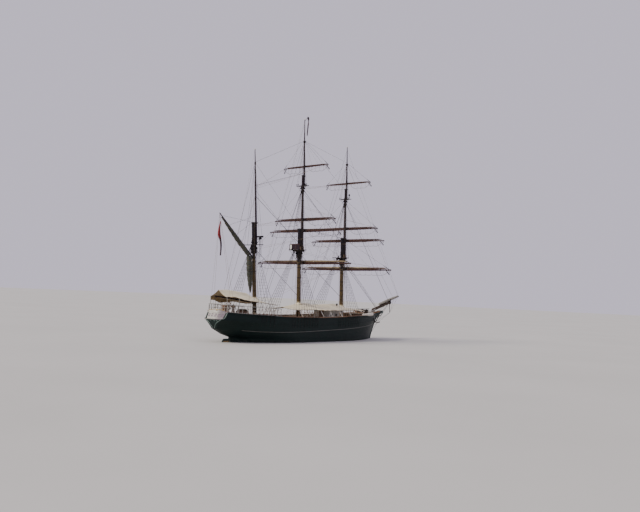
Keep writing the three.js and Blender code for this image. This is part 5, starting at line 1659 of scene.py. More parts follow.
def build_shrouds():
    """Each mast's shrouds with their deadeyes, chainplates, channels and ratlines."""
    for name, mast in MASTS.items():
        heavy, light, rungs, knobs = [], [], [], bmesh.new()
        head = mast.top + 0.35
        for side in SIDES.values():
            feet = [rail_seat(mast.x + dx, side) for dx in SHROUD_FEET[name]]
            start = -0.38 if mast.crosstrees else 0.05
            tops = [on_mast(name, head, start - 0.03 * k, side * 0.22) for k in range(len(feet))]
            for foot, top in zip(feet, tops):
                set_up(heavy, knobs, light, foot, top, SHROUD, 0.62, 0.085)
                chainplate(knobs, foot, side)
            channel(knobs, feet[0].x + 0.25, feet[-1].x - 0.25, side)
            ladder(rungs, list(zip(feet, tops)), 0.1, 0.93)
            if mast.crosstrees:
                upper_shrouds(name, mast, side, heavy, light, rungs, knobs)
            else:
                trees = mast.top + 0.02
                pole = on_mast(name, mast.hounds, MIZZEN_OFFSET)
                for dx in (-0.35, 0.25):
                    arm = on_mast(name, trees, dx, side * 1.45)
                    heavy.append((0.014, [arm, pole]))
                    heavy.append((0.014, [arm, on_mast(name, trees - 1.9, 0, side * 0.24)]))
        lines(f"{name}_shrouds", heavy, TAR)
        lines(f"{name}_ratlines", rungs, TAR)
        lines(f"{name}_lanyards", light, MANILA)
        piece(f"{name}_deadeyes_and_channels", knobs, [IRON, TEAK, HULL_PAINT])


def set_up(heavy, knobs, lanyards, foot, top, radius, span, size):
    """A shroud or backstay that is set up by deadeyes, a span apart, at its foot."""
    way = (top - foot).normalized()
    heavy.append((radius, [foot + way * span, top]))
    deadeyes(knobs, lanyards, foot, way, span, size)


def ladder(rungs, ropes, low, high, step=RATLINE_STEP, radius=0.009):
    """Ratlines across a set of shrouds, a step apart in height."""
    base = max(foot.z + (top.z - foot.z) * low for foot, top in ropes)
    peak = min(foot.z + (top.z - foot.z) * high for foot, top in ropes)
    for k in range(int((peak - base) / step) + 1):
        z = base + k * step
        across = [foot.lerp(top, (z - foot.z) / (top.z - foot.z)) for foot, top in ropes]
        route = []
        for start, end in zip(across, across[1:]):
            route += hanging(start, end, 0.012 * (end - start).length, 3)[:2]
        rungs.append((radius, [*route, across[-1]]))


def deadeyes(bm, lanyards, foot, way, span, size):
    """A pair of deadeyes with their lanyard between them."""
    turn = way.to_track_quat("Z", "Y").to_matrix().to_4x4()
    for at in (0.04, span):
        ball(bm, foot + way * at, (size, size * 0.5, size), turn, 8, 1)
    for shift in (-0.5, 0.0, 0.5):
        offset = turn @ Vector((size * shift, 0, 0))
        lanyards.append((0.01, [foot + way * 0.06 + offset, foot + way * (span - 0.02) + offset]))


def chainplate(bm, foot, side):
    """The iron strap down the hull's side under a deadeye."""
    low = hull_point(9.2, share_of(foot.x), side, -0.02)
    low.x = foot.x
    rod(bm, low, foot, 0.02, sides=6, material=0)
    ball(bm, low, (0.05, 0.03, 0.05), material=0)


def channel(bm, fore, aft, side):
    """The plank outside the rail that spreads the shrouds."""
    run = (share_of(aft), share_of(fore))
    plank(bm, RAIL, run, side, (-0.26, 0.02), (-0.06, 0.0), 10, 2)


def upper_shrouds(name, mast, side, heavy, light, rungs, knobs):
    """A top's futtock and topmast shrouds, and the t'gallant's from the crosstrees."""
    rim = [on_mast(name, mast.top + 0.02, dx, side * 1.08) for dx in (0.25, -0.2, -0.65, -0.95)]
    top = on_mast(name, mast.crosstrees - 0.15, TOPMAST_OFFSET, side * 0.14)
    catch = on_mast(name, mast.top - 1.75, 0.0, side * 0.27)
    for foot in rim:
        heavy.append((0.015, [foot - (top - foot).normalized() * 0.06, catch]))
        set_up(heavy, knobs, light, foot, top, 0.015, 0.4, 0.06)
    ladder(rungs, [(foot, top) for foot in rim], 0.08, 0.9, radius=0.008)
    ladder(rungs, [(catch, foot) for foot in rim], 0.3, 0.9, radius=0.008)
    hounds = on_mast(name, mast.hounds, TOPGALLANT_OFFSET)
    gap = TOPMAST_RADII[1] + 0.08
    arms = [
        on_mast(name, mast.crosstrees + 0.06, TOPMAST_OFFSET + dx, side * dy)
        for dx, dy in ((-gap, 0.95), (-gap, 0.68), (gap, 0.36))
    ]
    for arm in arms:
        heavy.append((0.012, [arm, hounds]))
        heavy.append((0.012, [arm, on_mast(name, mast.crosstrees - 1.1, TOPMAST_OFFSET, side * 0.15)]))
        ball(knobs, arm + UP * 0.14, (0.07, 0.07, 0.12))
    ladder(rungs, [(arm, hounds) for arm in arms[:2]], 0.1, 0.75, 0.45, 0.007)


BACKSTAYS = (  # mast, height, forward of the lower mast, foot forward of the mast, radius
    ("fore", 21.4, TOPMAST_OFFSET, -3.75, 0.017), ("fore", 21.4, TOPMAST_OFFSET, -4.35, 0.017),
    ("fore", 27.25, TOPGALLANT_OFFSET, -4.95, 0.013), ("fore", 29.3, TOPGALLANT_OFFSET, -5.4, 0.01),
    ("main", 22.0, TOPMAST_OFFSET, -3.75, 0.017), ("main", 22.0, TOPMAST_OFFSET, -4.35, 0.017),
    ("main", 28.9, TOPGALLANT_OFFSET, -4.95, 0.013), ("main", 31.3, TOPGALLANT_OFFSET, -5.4, 0.01),
    ("mizzen", 19.6, MIZZEN_OFFSET, -3.2, 0.015), ("mizzen", 24.1, MIZZEN_OFFSET, -4.0, 0.013),
)
BOOM_STAYS = (  # to the jib-boom: height on the foremast, forward of it, x of the foot, radius
    (21.2, TOPMAST_OFFSET + 0.1, 23.7, 0.015), (27.2, TOPGALLANT_OFFSET + 0.05, 25.1, 0.013),
    (29.4, TOPGALLANT_OFFSET + 0.04, 25.28, 0.01),
)
MAST_STAYS = (  # between masts: radius, then each end as mast, height, forward of it and to port
    (0.014, ("main", 28.85, TOPGALLANT_OFFSET), ("fore", 22.9, TOPMAST_OFFSET)),
    (0.012, ("main", 28.85, TOPGALLANT_OFFSET), ("fore", 27.37, TOPGALLANT_OFFSET)),
    (0.012, ("main", 28.85, TOPGALLANT_OFFSET), ("mizzen", 24.08, MIZZEN_OFFSET)),
    (0.013, ("main", 24.1, TOPMAST_OFFSET, 0.05), ("mizzen", 20.94, MIZZEN_OFFSET, 0.05)),
    (0.013, ("main", 24.1, TOPMAST_OFFSET, -0.05), ("mizzen", 20.94, MIZZEN_OFFSET, -0.05)),
    (0.014, ("main", 21.39, TOPMAST_OFFSET, 0.05), ("fore", 15.6, 0.1, 0.05)),
    (0.016, ("main", 16.05, 0.15), ("fore", 15.55, 0.0)),
    (0.014, ("mizzen", 24.0, MIZZEN_OFFSET), ("main", 16.1, 0.0)),
    (0.014, ("mizzen", 20.3, MIZZEN_OFFSET), ("main", 13.4, 0.0)),
)
TOPMAST_EYES = (("fore", 20.9, 0.2), ("fore", 20.45, 0.2), ("main", 21.6, 0.19), ("main", 21.25, 0.19))
CAD_STAYS = (
    "forestay", "fore_topmast_stay", "mainstay", "main_topmast_stay", "mizzen_stay", "mizzen_topmast_stay",
    "bobstay",
)


def build_stays():
    """Backstays, the stays to the jib-boom and between the masts, and the eyes of rope round the masts."""
    routes, eyes, knobs, light = [], [], bmesh.new(), []
    for name, z, forward, dx, radius in BACKSTAYS:
        for side in SIDES.values():
            foot = rail_seat(MASTS[name].x + dx, side, 0.1, 0.1)
            set_up(routes, knobs, light, foot, on_mast(name, z, forward, side * 0.06), radius, 0.5, 0.065)
            chainplate(knobs, foot, side)
    for z, forward, x, radius in BOOM_STAYS:
        routes.append((radius, [on_mast("fore", z, forward), bowsprit_point(x, JIBBOOM["lift"] + 0.1)]))
    for x in (25.2, 24.0):
        routes.append((0.016, [STRIKER_TIP, bowsprit_point(x, JIBBOOM["lift"])]))
    for side in SIDES.values():
        foot = bowsprit_point(18.9) + Vector((0, side * 0.13, 0.25))
        routes += [
            (0.022, [on_mast("fore", 12.6, 0.1, side * 0.1), foot]),
            (0.016, [STRIKER_TIP, hull_point(8.0, 0.99, side, -0.02)]),
            (0.018, [bowsprit_point(22.5), hull_point(9.4, 0.975, side)]),
            (0.014, [bowsprit_point(25.1, JIBBOOM["lift"]), hull_point(10.2, 0.95, side)]),
        ]
    routes += [(radius, [on_mast(*start), on_mast(*end)]) for radius, start, end in MAST_STAYS]
    for name, z, radius in TOPMAST_EYES:
        for tilt in (-0.25, 0.1, 0.35):
            centre = on_mast(name, z + 0.1 * tilt, TOPMAST_OFFSET)
            eyes.append((0.035, loop(centre, radius, (tilt, 0.2 * tilt, 1), 14), True))
    for name, mast in MASTS.items():
        for k in range(5):
            centre = on_mast(name, mast.top + 0.42 + 0.11 * k)
            eyes.append((0.04, loop(centre, 0.29 - 0.008 * k, (0.25 if k % 2 else -0.2, 0, 1), 14), True))
    lines("stays_and_backstays", routes, TAR)
    lines("rigging_eyes", eyes, TAR, round_lines=True)
    lines("backstay_lanyards", light, MANILA)
    piece("backstay_deadeyes", knobs, [IRON, TEAK, HULL_PAINT])
    for stay in CAD_STAYS:
        dress(stay, TAR)


# Running rigging

YARDARM = 0.97  # where lifts and braces are made fast, as a share of the half yard


def arm_of(yard, side, share=YARDARM, lift=0.05):
    mast = MASTS[yard.mast]
    return raked(mast) @ Vector((yard.offset, side * share * yard.half, up(mast, yard.z) + lift))


LIFT_HEADS = {  # how far forward of the lower mast each yard's lifts lead
    "course": 0.1, "lower_topsail": 0.62, "upper_topsail": 0.62, "topgallant": 0.92,
}
BRACE_LEADS = {  # mast, height and distance forward of it; the main course's lead to the rail
    "fore_course": ("main", 12.75, 0.0), "fore_lower_topsail": ("main", 13.6, 0.0),
    "fore_upper_topsail": ("main", 19.3, TOPMAST_OFFSET), "fore_topgallant": ("main", 22.1, TOPMAST_OFFSET),
    "main_lower_topsail": ("mizzen", 12.6, 0.0), "main_upper_topsail": ("mizzen", 15.7, 0.0),
    "main_topgallant": ("mizzen", 20.8, MIZZEN_OFFSET),
}


def build_lifts_and_braces():
    for yard in YARDS:
        body = f"{yard.mast}_{yard.sail}"
        build_lifts(yard, body)
        build_braces(yard, body)


def build_lifts(yard, body):
    """The lifts with their tackles, and the lines that lead from over the yard to its sail."""
    mast, forward = MASTS[yard.mast], LIFT_HEADS[yard.sail]
    hung_below = yard.sail == "lower_topsail"
    z = {
        "course": mast.cap, "lower_topsail": yard.z + 3.2, "upper_topsail": mast.crosstrees - 0.2,
        "topgallant": mast.hounds,
    }[yard.sail]
    routes = []
    for side in SIDES.values():
        if not hung_below:
            head, arm = on_mast(yard.mast, z, forward, side * 0.16), arm_of(yard, side)
            routes += [(0.011, [head, arm]), (0.035, [arm, arm.lerp(head, 0.13)])]
        for share in (0.28, 0.55):
            drop = on_mast(yard.mast, z - 0.3, forward + 0.1, side * 0.12)
            if hung_below:
                over = next(other for other in YARDS if other[:2] == (yard.mast, "upper_topsail"))
                drop = arm_of(over, side, share * yard.half / over.half, -0.05) + Vector((0.12, 0, 0))
            routes.append((0.007, [drop, arm_of(yard, side, share, yard.radius + yard.roll * 1.4)]))
    if hung_below:
        made = lines(f"{body}_lifts", routes, TAR, body)
    else:
        made = lines(f"{body}_lifts", routes, TAR, None)
        made = blended(made)


def build_braces(yard, body):
    """The ropes from a yard's arms, aft to the next mast or the rail, that swing it."""
    routes = []
    for side in SIDES.values():
        arm = arm_of(yard, side, YARDARM, 0.0)
        if body in BRACE_LEADS:
            name, height, forward = BRACE_LEADS[body]
            ends = [on_mast(name, z, forward, side * 0.26) for z in (height, height - 0.25)]
        else:
            ends = [rail_seat(-13.6, side, 0.0, 1.0), rail_seat(-13.9, side, 0.0, 0.2)]
        pendant = arm.lerp(ends[0], 0.16)
        routes.append((0.012, [arm, pendant]))
        routes += [(0.008, hanging(pendant, end, 0.12, 9)) for end in ends]
    made = lines(f"{body}_braces", routes, MANILA, None)
    made = blended(made)


def build_gear_of_the_spanker():
    """The gaff's spans and vangs, and the boom's sheets."""
    mizzen = MASTS["mizzen"]
    turn = raked(mizzen)
    throat, peak, heel, tip = (spar_end(point) for spar in (GAFF, BOOM) for point in (spar.inner, spar.outer))

    def on_gaff(share):
        return turn @ (throat.lerp(peak, share) + Vector((0.084, 0, 0.084)))

    head = on_mast("mizzen", mizzen.cap + 0.05, -0.24)
    spans = [
        (0.012, [head, on_gaff(0.5)]), (0.012, [head + UP * 0.05, on_gaff(0.93)]),
        (0.012, [on_mast("mizzen", 16.8, MIZZEN_OFFSET - 0.12), on_gaff(0.72)]),
    ]
    vangs, sheets = [], []
    for side in SIDES.values():
        rail = rail_seat(-15.1, side, -0.1, 1.0)
        vangs += [(0.01, [turn @ peak, foot]) for foot in (rail, rail + Vector((0.5, 0, 0)))]
        low = hull_point(RAIL, share_of(-14.9), side, 0.5, 0.05)
        sheets += [(0.01, [turn @ heel.lerp(tip, share) - UP * 0.1, low]) for share in (0.78, 0.8)]
    made = lines("gaff_spans", spans, TAR, None)
    blended(made)
    made = lines("gaff_vangs", vangs, MANILA, None)
    blended(made)
    made = lines("boom_sheets", sheets, MANILA, None)
    blended(made)


TOP_FALLS = ((-0.3, 0.12), (-0.3, -0.12), (-0.02, 0.26), (-0.02, -0.26))  # ahead of the topmast, to port


def build_halyards():
    """The falls round each mast from its rack to its top, those along the topmasts, and the flag halyards."""
    routes = []
    for name, mast in MASTS.items():
        rack = height_at(RAIL if name == "mizzen" else DECK, mast.x) + 1.0
        for k in range(7):
            a = tau * (k + 0.5) / 7
            foot = on_mast(name, rack) + Vector((0.36 * cos(a), 0.5 * sin(a), 0))
            routes.append((0.011, [foot, on_mast(name, mast.top - 0.3, 0.35 * cos(a), 0.4 * sin(a))]))
        if mast.crosstrees:
            for dx, dy in TOP_FALLS:
                low = on_mast(name, mast.top + 0.1, TOPMAST_OFFSET + dx, dy)
                routes.append(
                    (0.009, [low, on_mast(name, mast.crosstrees - 0.1, TOPMAST_OFFSET + dx * 0.7, dy)])
                )
            for dy in (0.09, -0.09):
                low = on_mast(name, mast.crosstrees, TOPGALLANT_OFFSET - 0.16, dy)
                routes.append((0.007, [low, on_mast(name, mast.hounds, TOPGALLANT_OFFSET - 0.08, dy * 0.6)]))
    for side in SIDES.values():
        for name, z, forward, x, over_rail in (
            ("mizzen", 25.6, MIZZEN_OFFSET, -12.0, 1.0), ("main", 31.8, TOPGALLANT_OFFSET, -5.9, 0.1),
        ):
            routes.append(
                (0.006, [on_mast(name, z, forward, side * 0.06), rail_seat(x, side, -0.1, over_rail)])
            )
    lines("halyards_and_falls", routes, MANILA)


# Deck gear

HOUSE = {
    "x": (5.0, 8.3), "half": 1.5, "height": 1.85, "window": (0.5, 0.42), "sill": 0.85, "skylight": (6.0, 7.2)
}
HOUSE_FLOOR = height_at(DECK, HOUSE["x"][1])
HOUSE_TOP = HOUSE_FLOOR + HOUSE["height"]
DOOR = {"y": (-0.4, 0.35), "height": 1.65, "thick": 0.06}


def dress(node, *materials):
    """Gives a CAD node that stays in view its material."""
    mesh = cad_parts[node].data
    mesh.materials.clear()
    for material in materials:
        mesh.materials.append(material)


def skylight_glass(bm, middle, side, out, z, tilt, places, half_size, thick, material):
    """The panes on one slope of a skylight's roof."""
    slope = Matrix.Translation((middle, side * out, z)) @ Matrix.Rotation(-side * tilt, 4, "X")
    wide, tall = half_size
    for x in places:
        block(bm, (x - wide, -tall, -0.01), (x + wide, tall, thick), 0.004, material, slope)


def build_deckhouse():
    """The house's joinery, its roof with rails, stovepipe and skylight, and its panelled door."""
    bm = bmesh.new()
    (x0, x1), half = HOUSE["x"], HOUSE["half"]
    width, tall = HOUSE["window"]
    low = HOUSE_FLOOR + HOUSE["sill"]
    high = low + tall
    for side in (-1, 1):
        face = side * half
        back = face - 0.01

        def trim(left, right, bottom, top, proud=0.025, material=0):
            block(bm, (left, back, bottom), (right, face + proud, top), 0.008, material)

        for share in (0.2, 0.5, 0.8):
            middle = x0 + (x1 - x0) * share
            left, right, pane = middle - width / 2, middle + width / 2, side * (half - 0.05)
            block(bm, (left, pane - 0.006, low), (right, pane + 0.006, high), 0, 1)
            for z in (low, high):
                block(
                    bm, (left - 0.06, face - 0.03, z - 0.035), (right + 0.06, face + 0.03, z + 0.035), 0.008
                )
            for x, thick in ((left, 0.035), (middle, 0.012), (right, 0.035)):
                block(bm, (x - thick, face - 0.03, low), (x + thick, face + 0.025, high), 0.006)
        for share in (0.03, 0.35, 0.65, 0.97):
            x = x0 + (x1 - x0) * share
            trim(x - 0.05, x + 0.05, height_at(DECK, x) + 0.02, HOUSE_TOP - 0.03)
        trim(x0, x1, HOUSE_FLOOR + 0.02, HOUSE_FLOOR + 0.14, 0.035, 2)
        trim(x0, x1, HOUSE_TOP - 0.1, HOUSE_TOP - 0.02, 0.035, 2)
    piece("deckhouse_joinery", bm, [WHITE, GLASS, TEAK])
    bm = bmesh.new()
    over = 0.12
    edge = half + over
    rings = []
    for x in shares(x0 - over, x1 + over, 12):
        top = [(x, u * edge, HOUSE_TOP + 0.062 + 0.1 * (1 - u * u)) for u in shares(-1, 1, 14)]
        rings.append([*top, (x, edge, HOUSE_TOP + 0.001), (x, -edge, HOUSE_TOP + 0.001)])
    skin(bm, rings)
    for side in (-1, 1):
        rail = [Vector((x, side * (half - 0.1), HOUSE_TOP + 0.2)) for x in shares(x0 + 0.2, x1 - 0.2, 5)]
        pipe(bm, rail, 0.02, material=1)
        for head in rail:
            rod(bm, head - UP * 0.12, head, 0.018, material=1)
    stove = Vector((x1 - 0.7, -0.8, HOUSE_TOP))
    rod(bm, stove + UP * 0.1, stove + UP * 0.75, 0.09, sides=16, material=2)
    turned(bm, stove + UP * 0.72, stove + UP * 0.9, [(0, 0.09), (0.2, 0.17), (0.9, 0.15), (1, 0.04)], 16, 2)
    start, end = HOUSE["skylight"]
    middle = (start + end) / 2
    place = Matrix.Translation((middle, 0, HOUSE_TOP + 0.1)) @ Matrix.Rotation(pi / 2, 4, "Z")
    plate(bm, [(-0.45, 0), (0.45, 0), (0.45, 0.16), (0, 0.42), (-0.45, 0.16)], end - start, place, 0.012, 1)
    for side in (-1, 1):
        skylight_glass(
            bm, middle, side, 0.23, HOUSE_TOP + 0.41, 0.524, (-0.36, 0, 0.36), (0.15, 0.17), 0.02, 3
        )
    made = piece("deckhouse_roofing", bm, [DECKING, TEAK, IRON, GLASS])
    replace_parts(made, "deckhouse_roof")
    build_house_door()
    dress("deckhouse", WHITE)


def build_house_door():
    bm = bmesh.new()
    inner = HOUSE["x"][0] - 0.0008
    outer = inner - DOOR["thick"]
    low, tall = HOUSE_FLOOR + 0.02, DOOR["height"]
    y0, y1 = DOOR["y"][0] - 0.08, DOOR["y"][1] + 0.08
    block(bm, (outer + 0.012, y0, low), (inner, y1, low + tall), 0.006)
    rails = [(y0, y1, bottom, top) for bottom, top in ((0.0, 0.14), (0.72, 0.84), (1.53, tall))]
    stiles = [(left, right, 0, tall) for left, right in ((y0, y0 + 0.11), (y1 - 0.11, y1), (-0.06, 0.02))]
    for left, right, bottom, top in rails + stiles:
        block(bm, (outer, left, low + bottom), (outer + 0.02, right, low + top), 0.005)
    ball(bm, (outer - 0.03, DOOR["y"][0] + 0.02, low + 0.8), (0.035,) * 3, sides=12, material=1)
    for z in (0.2, 1.4):
        hinge = Vector((outer + 0.005, y1, low + z))
        rod(bm, hinge, hinge + UP * 0.14, 0.02, material=1)
    made = piece("deckhouse_door_leaf", bm, [TEAK, BRONZE], "house_door")
    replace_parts(made, "deckhouse_door")


HATCH = {"x": (1.9, 3.6), "half": 1.0, "height": 0.5}


def build_hatch():
    """The main hatch: its coaming, the canvas over it, and the battens and wedges that hold it down."""
    bm = bmesh.new()
    (x0, x1), half = HATCH["x"], HATCH["half"]
    top = height_at(DECK, x1) + HATCH["height"]
    foot = height_at(DECK, x0)
    block(bm, (x0, -half, foot), (x1, half, top - 0.08), 0.02)
    block(bm, (x0 - 0.04, -half - 0.04, foot), (x1 + 0.04, half + 0.04, foot + 0.08), 0.015)
    lap = half + 0.055
    rings = []
    for x in shares(x0 - 0.055, x1 + 0.055, 22):
        crown = min(1.0, min(x - x0 + 0.055, x1 + 0.055 - x) / 0.25)
        ring = [(x, lap, top - 0.16), (x, -lap, top - 0.16)]
        for u in shares(-1, 1, 20):
            sag = 0.018 * crown * (1 - abs(u) ** 6) + 0.004 * wrinkle((x, u, 0), 5.0)
            ring.append((x, u * lap, top - 0.02 + sag))
        rings.append(ring)
    skin(bm, rings, material=1)
    for y in (-0.7, -0.25, 0.25, 0.7):
        block(bm, (x0 - 0.07, y - 0.03, top - 0.004), (x1 + 0.07, y + 0.03, top + 0.012), 0.005, 2)
    for side in (-1, 1):
        batten, wedge = side * (half + 0.06), side * (half + 0.075)
        block(bm, (x0, batten - 0.012, top - 0.13), (x1, batten + 0.012, top - 0.08), 0.004, 2)
        for x in shares(x0 + 0.1, x1 - 0.1, 5):
            block(bm, (x - 0.03, wedge - 0.02, top - 0.16), (x + 0.03, wedge + 0.02, top - 0.05), 0.005, 2)
    # the hatch's canvas shares AWNING_UNDER, with its painted shade and glow
    made = piece("main_hatch_and_cover", bm, [TEAK, AWNING_UNDER, IRON])
    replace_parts(made, "main_hatch")


WINDLASS = {"x": 15.2, "half": 0.75, "axis": 0.42}


def build_windlass():
    """The windlass between its two cheeks, with its pawl rim, and the cables that lead forward from it."""
    bm = bmesh.new()
    x, half, floor = WINDLASS["x"], WINDLASS["half"], height_at(RAIL, 15.7)
    axis = floor + WINDLASS["axis"]
    cheek = ((-0.5, -0.1), (0.5, -0.02), (0.42, 0.34), (0.15, 0.5), (-0.15, 0.5), (-0.42, 0.3))
    cheek = [(x + dx, floor + dz) for dx, dz in cheek]
    for side in (-1, 1):
        plate(bm, cheek, 0.13, Matrix.Translation((0, side * half, 0)), 0.02)
        rod(bm, (x, side * 0.83, axis), (x, side * 0.87, axis), 0.25, sides=20)
    barrel = [
        (0, 0.15), (0.02, 0.17), (0.1, 0.12), (0.14, 0.19), (0.2, 0.19), (0.24, 0.14), (0.4, 0.15),
        (0.44, 0.21), (0.56, 0.21), (0.6, 0.15), (0.76, 0.14), (0.8, 0.19), (0.86, 0.19), (0.9, 0.12),
        (0.98, 0.17), (1, 0.15),
    ]
    turned(bm, (x, -1.05, axis), (x, 1.05, axis), barrel, 24)
    for k in range(10):
        a = tau * k / 10
        tooth = Vector((x + 0.21 * cos(a), 0, axis + 0.21 * sin(a)))
        rod(bm, tooth - ACROSS * 0.09, tooth + ACROSS * 0.09, 0.025, sides=6)
    block(bm, (14.8, -half, floor - 0.05), (15.6, half, floor + 0.1), 0.02, 1)
    for y in (-0.45, 0.45):
        for k in range(9):  # each link lies flat, then the next stands on edge
            link_x = 15.5 + 0.17 * k
            z = height_at(RAIL, link_x) + 0.04
            for bar in (y - 0.05, y + 0.05):
                rod(bm, (link_x, bar, z), (link_x + 0.14, bar, z), 0.018, sides=6)
            rod(bm, (link_x + 0.07, y, z - 0.05), (link_x + 0.21, y, z + 0.03), 0.018, sides=6)
    made = piece("anchor_windlass", bm, [IRON, TEAK])
    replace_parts(made, "windlass")


WHEEL = {"x": -13.75, "radius": 0.5, "spokes": 8}
WHEEL_Z = height_at(RAIL, WHEEL["x"]) + 0.85


def build_steering():
    """The wheel, the box of its gear, the binnacle and the skylight ahead of it."""
    bm = bmesh.new()
    x, radius = WHEEL["x"], WHEEL["radius"]
    hub = Vector((x, 0, WHEEL_Z))
    for shift, thick in ((-0.028, 0.02), (0.0, 0.036), (0.028, 0.02)):
        rings = []
        for a in shares(0, tau, 40):
            ring = []
            for b in (tau * k / 8 for k in range(8)):
                out = radius + thick * sin(b)
                ring.append(hub + Vector((shift + thick * 0.9 * cos(b), out * cos(a), out * sin(a))))
            rings.append(ring)
        skin(bm, rings, capped=False, material=1 if shift else 0)
    shaft = [(0, 0.06), (0.55, 0.06), (0.6, 0.09), (0.85, 0.09), (0.95, 0.05), (1, 0.03)]
    turned(bm, (x - 0.2492, 0, WHEEL_Z), (x + 0.1, 0, WHEEL_Z), shaft, 18, 1)
    spoke = [
        (0, 0.02), (0.2, 0.03), (0.45, 0.016), (0.68, 0.026), (0.76, 0.02), (0.82, 0.016), (0.92, 0.027),
        (1, 0.014),
    ]
    for k in range(WHEEL["spokes"]):
        a = tau * k / WHEEL["spokes"]
        way = Vector((0, cos(a), sin(a)))
        turned(bm, hub + way * 0.06, hub + way * (radius + 0.15), spoke, 10)
    made = piece("ships_wheel", bm, [TEAK, BRONZE], "steering_wheel")
    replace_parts(made, "steering_wheel")
    bm = bmesh.new()
    low = height_at(RAIL, x - 0.25)
    block(bm, (x - 0.95, -0.32, low - 0.02), (x - 0.25, 0.32, WHEEL_Z + 0.02), 0.02)
    skin(bm, [
        [(end, u * 0.36, WHEEL_Z + 0.02 + 0.1 * (1 - u * u)) for u in shares(-1, 1, 10)]
        + [(end, 0.36, WHEEL_Z), (end, -0.36, WHEEL_Z)] for end in (x - 0.98, x - 0.22)
    ])
    made = piece("steering_gear_box", bm, [TEAK])
    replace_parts(made, "wheel_box")
    build_binnacle()
    build_poop_skylight()


BINNACLE_X = -12.9


def build_binnacle():
    """The compass on its stand, with its hood, the two iron globes beside it, and its window."""
    bm = bmesh.new()
    foot = Vector((BINNACLE_X, 0, height_at(RAIL, BINNACLE_X) + 0.01))
    head = foot + UP * 0.8
    turned(bm, foot, head, [(0, 0.24), (0.08, 0.24), (0.12, 0.16), (0.5, 0.14), (0.9, 0.16), (1, 0.2)], 8)
    hood = [(0, 0.21), (0.15, 0.22), (0.3, 0.2), (0.65, 0.17), (0.9, 0.09), (1, 0.03)]
    turned(bm, head, foot + UP * 1.12, hood, 20, 1)
    for side in (-1, 1):
        arm = foot + Vector((0, side * 0.2, 0.75))
        rod(bm, arm, arm + ACROSS * side * 0.1, 0.02, material=1)
        ball(bm, foot + Vector((0, side * 0.32, 0.78)), (0.08,) * 3, sides=12, material=2)
    block(bm, foot + Vector((-0.22, -0.09, 0.86)), foot + Vector((-0.14, 0.09, 1.0)), 0.01, 3)
    made = piece("binnacle_and_hood", bm, [TEAK, BRONZE, IRON, GLASS])
    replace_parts(made, "binnacle")


POOP_SKYLIGHT = (-11.9, -10.6)


def build_poop_skylight():
    bm = bmesh.new()
    start, end = POOP_SKYLIGHT
    middle, base = (start + end) / 2, height_at(RAIL, start)
    place = Matrix.Translation((middle, 0, base)) @ Matrix.Rotation(pi / 2, 4, "Z")
    plate(
        bm, [(-0.55, -0.05), (0.55, -0.05), (0.55, 0.3), (0, 0.62), (-0.55, 0.3)], end - start, place, 0.015
    )
    for side in (-1, 1):
        skylight_glass(
            bm, middle, side, 0.29, base + 0.475, 0.527, (-0.45, -0.15, 0.15, 0.45), (0.12, 0.22), 0.015, 1
        )
    piece("poop_skylight", bm, [TEAK, GLASS])


RUDDER_OUTLINE = [
    (-13.4, -3.1), (-14.3, -3.05), (-14.5, -2.7), (-14.62, -2.0), (-14.62, 0.0), (-14.52, 0.3), (-14.3, 0.45),
    (-13.4, 0.45),
]
SCREW = {"x": -12.05, "z": -1.9, "radius": 0.92, "hub": 0.08, "blades": 3}


def build_underwater():
    """The rudder with its straps, and the screw with blades that are thin at their edges."""
    bm = bmesh.new()
    plate(bm, RUDDER_OUTLINE, 0.12, None, 0.025)
    turned(bm, (-13.4, 0, -3.1992), (-13.4, 0, 0.62), [(0, 0.09), (1, 0.09)], 18)
    for z in (-2.6, -1.2, 0.1):
        block(bm, (-14.4, -0.075, z - 0.06), (-13.4, 0.075, z + 0.06), 0.01, 1)
    made = piece("rudder_blade", bm, [BOTTOM, BRONZE], "rudder")
    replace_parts(made, "rudder")
    bm = bmesh.new()
    x, z, hub = SCREW["x"], SCREW["z"], SCREW["hub"]
    boss = [(0, 0.14), (0.3, 0.15), (0.7, 0.14), (0.9, 0.09), (1, 0.03)]
    turned(bm, (-11.7008, 0, z), (x - 0.35, 0, z), boss, 20)
    for k in range(SCREW["blades"]):
        turn = Matrix.Translation((x, 0, z)) @ Matrix.Rotation(tau * k / SCREW["blades"], 4, "X")
        rings = []
        for t in shares(0, 1, 12):
            r = hub + (SCREW["radius"] - hub) * t
            chord = 0.08 + 0.3 * sin(pi * min(1.0, 0.15 + 0.85 * t)) ** 0.7
            thick = 0.035 * (1 - 0.8 * t)
            pitch = Matrix.Rotation(radians(62 - 34 * t), 4, "Z")
            rings.append([
                turn @ pitch @ Vector((chord * 0.5 * cos(a), thick * 0.5 * sin(a), r))
                for a in (tau * i / 12 for i in range(12))
            ])
        skin(bm, rings)
    made = piece("screw_propeller", bm, [BRONZE], "propeller")
    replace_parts(made, "propeller")


RADAR = {"z": 13.9, "out": 1.25, "half": 0.55}


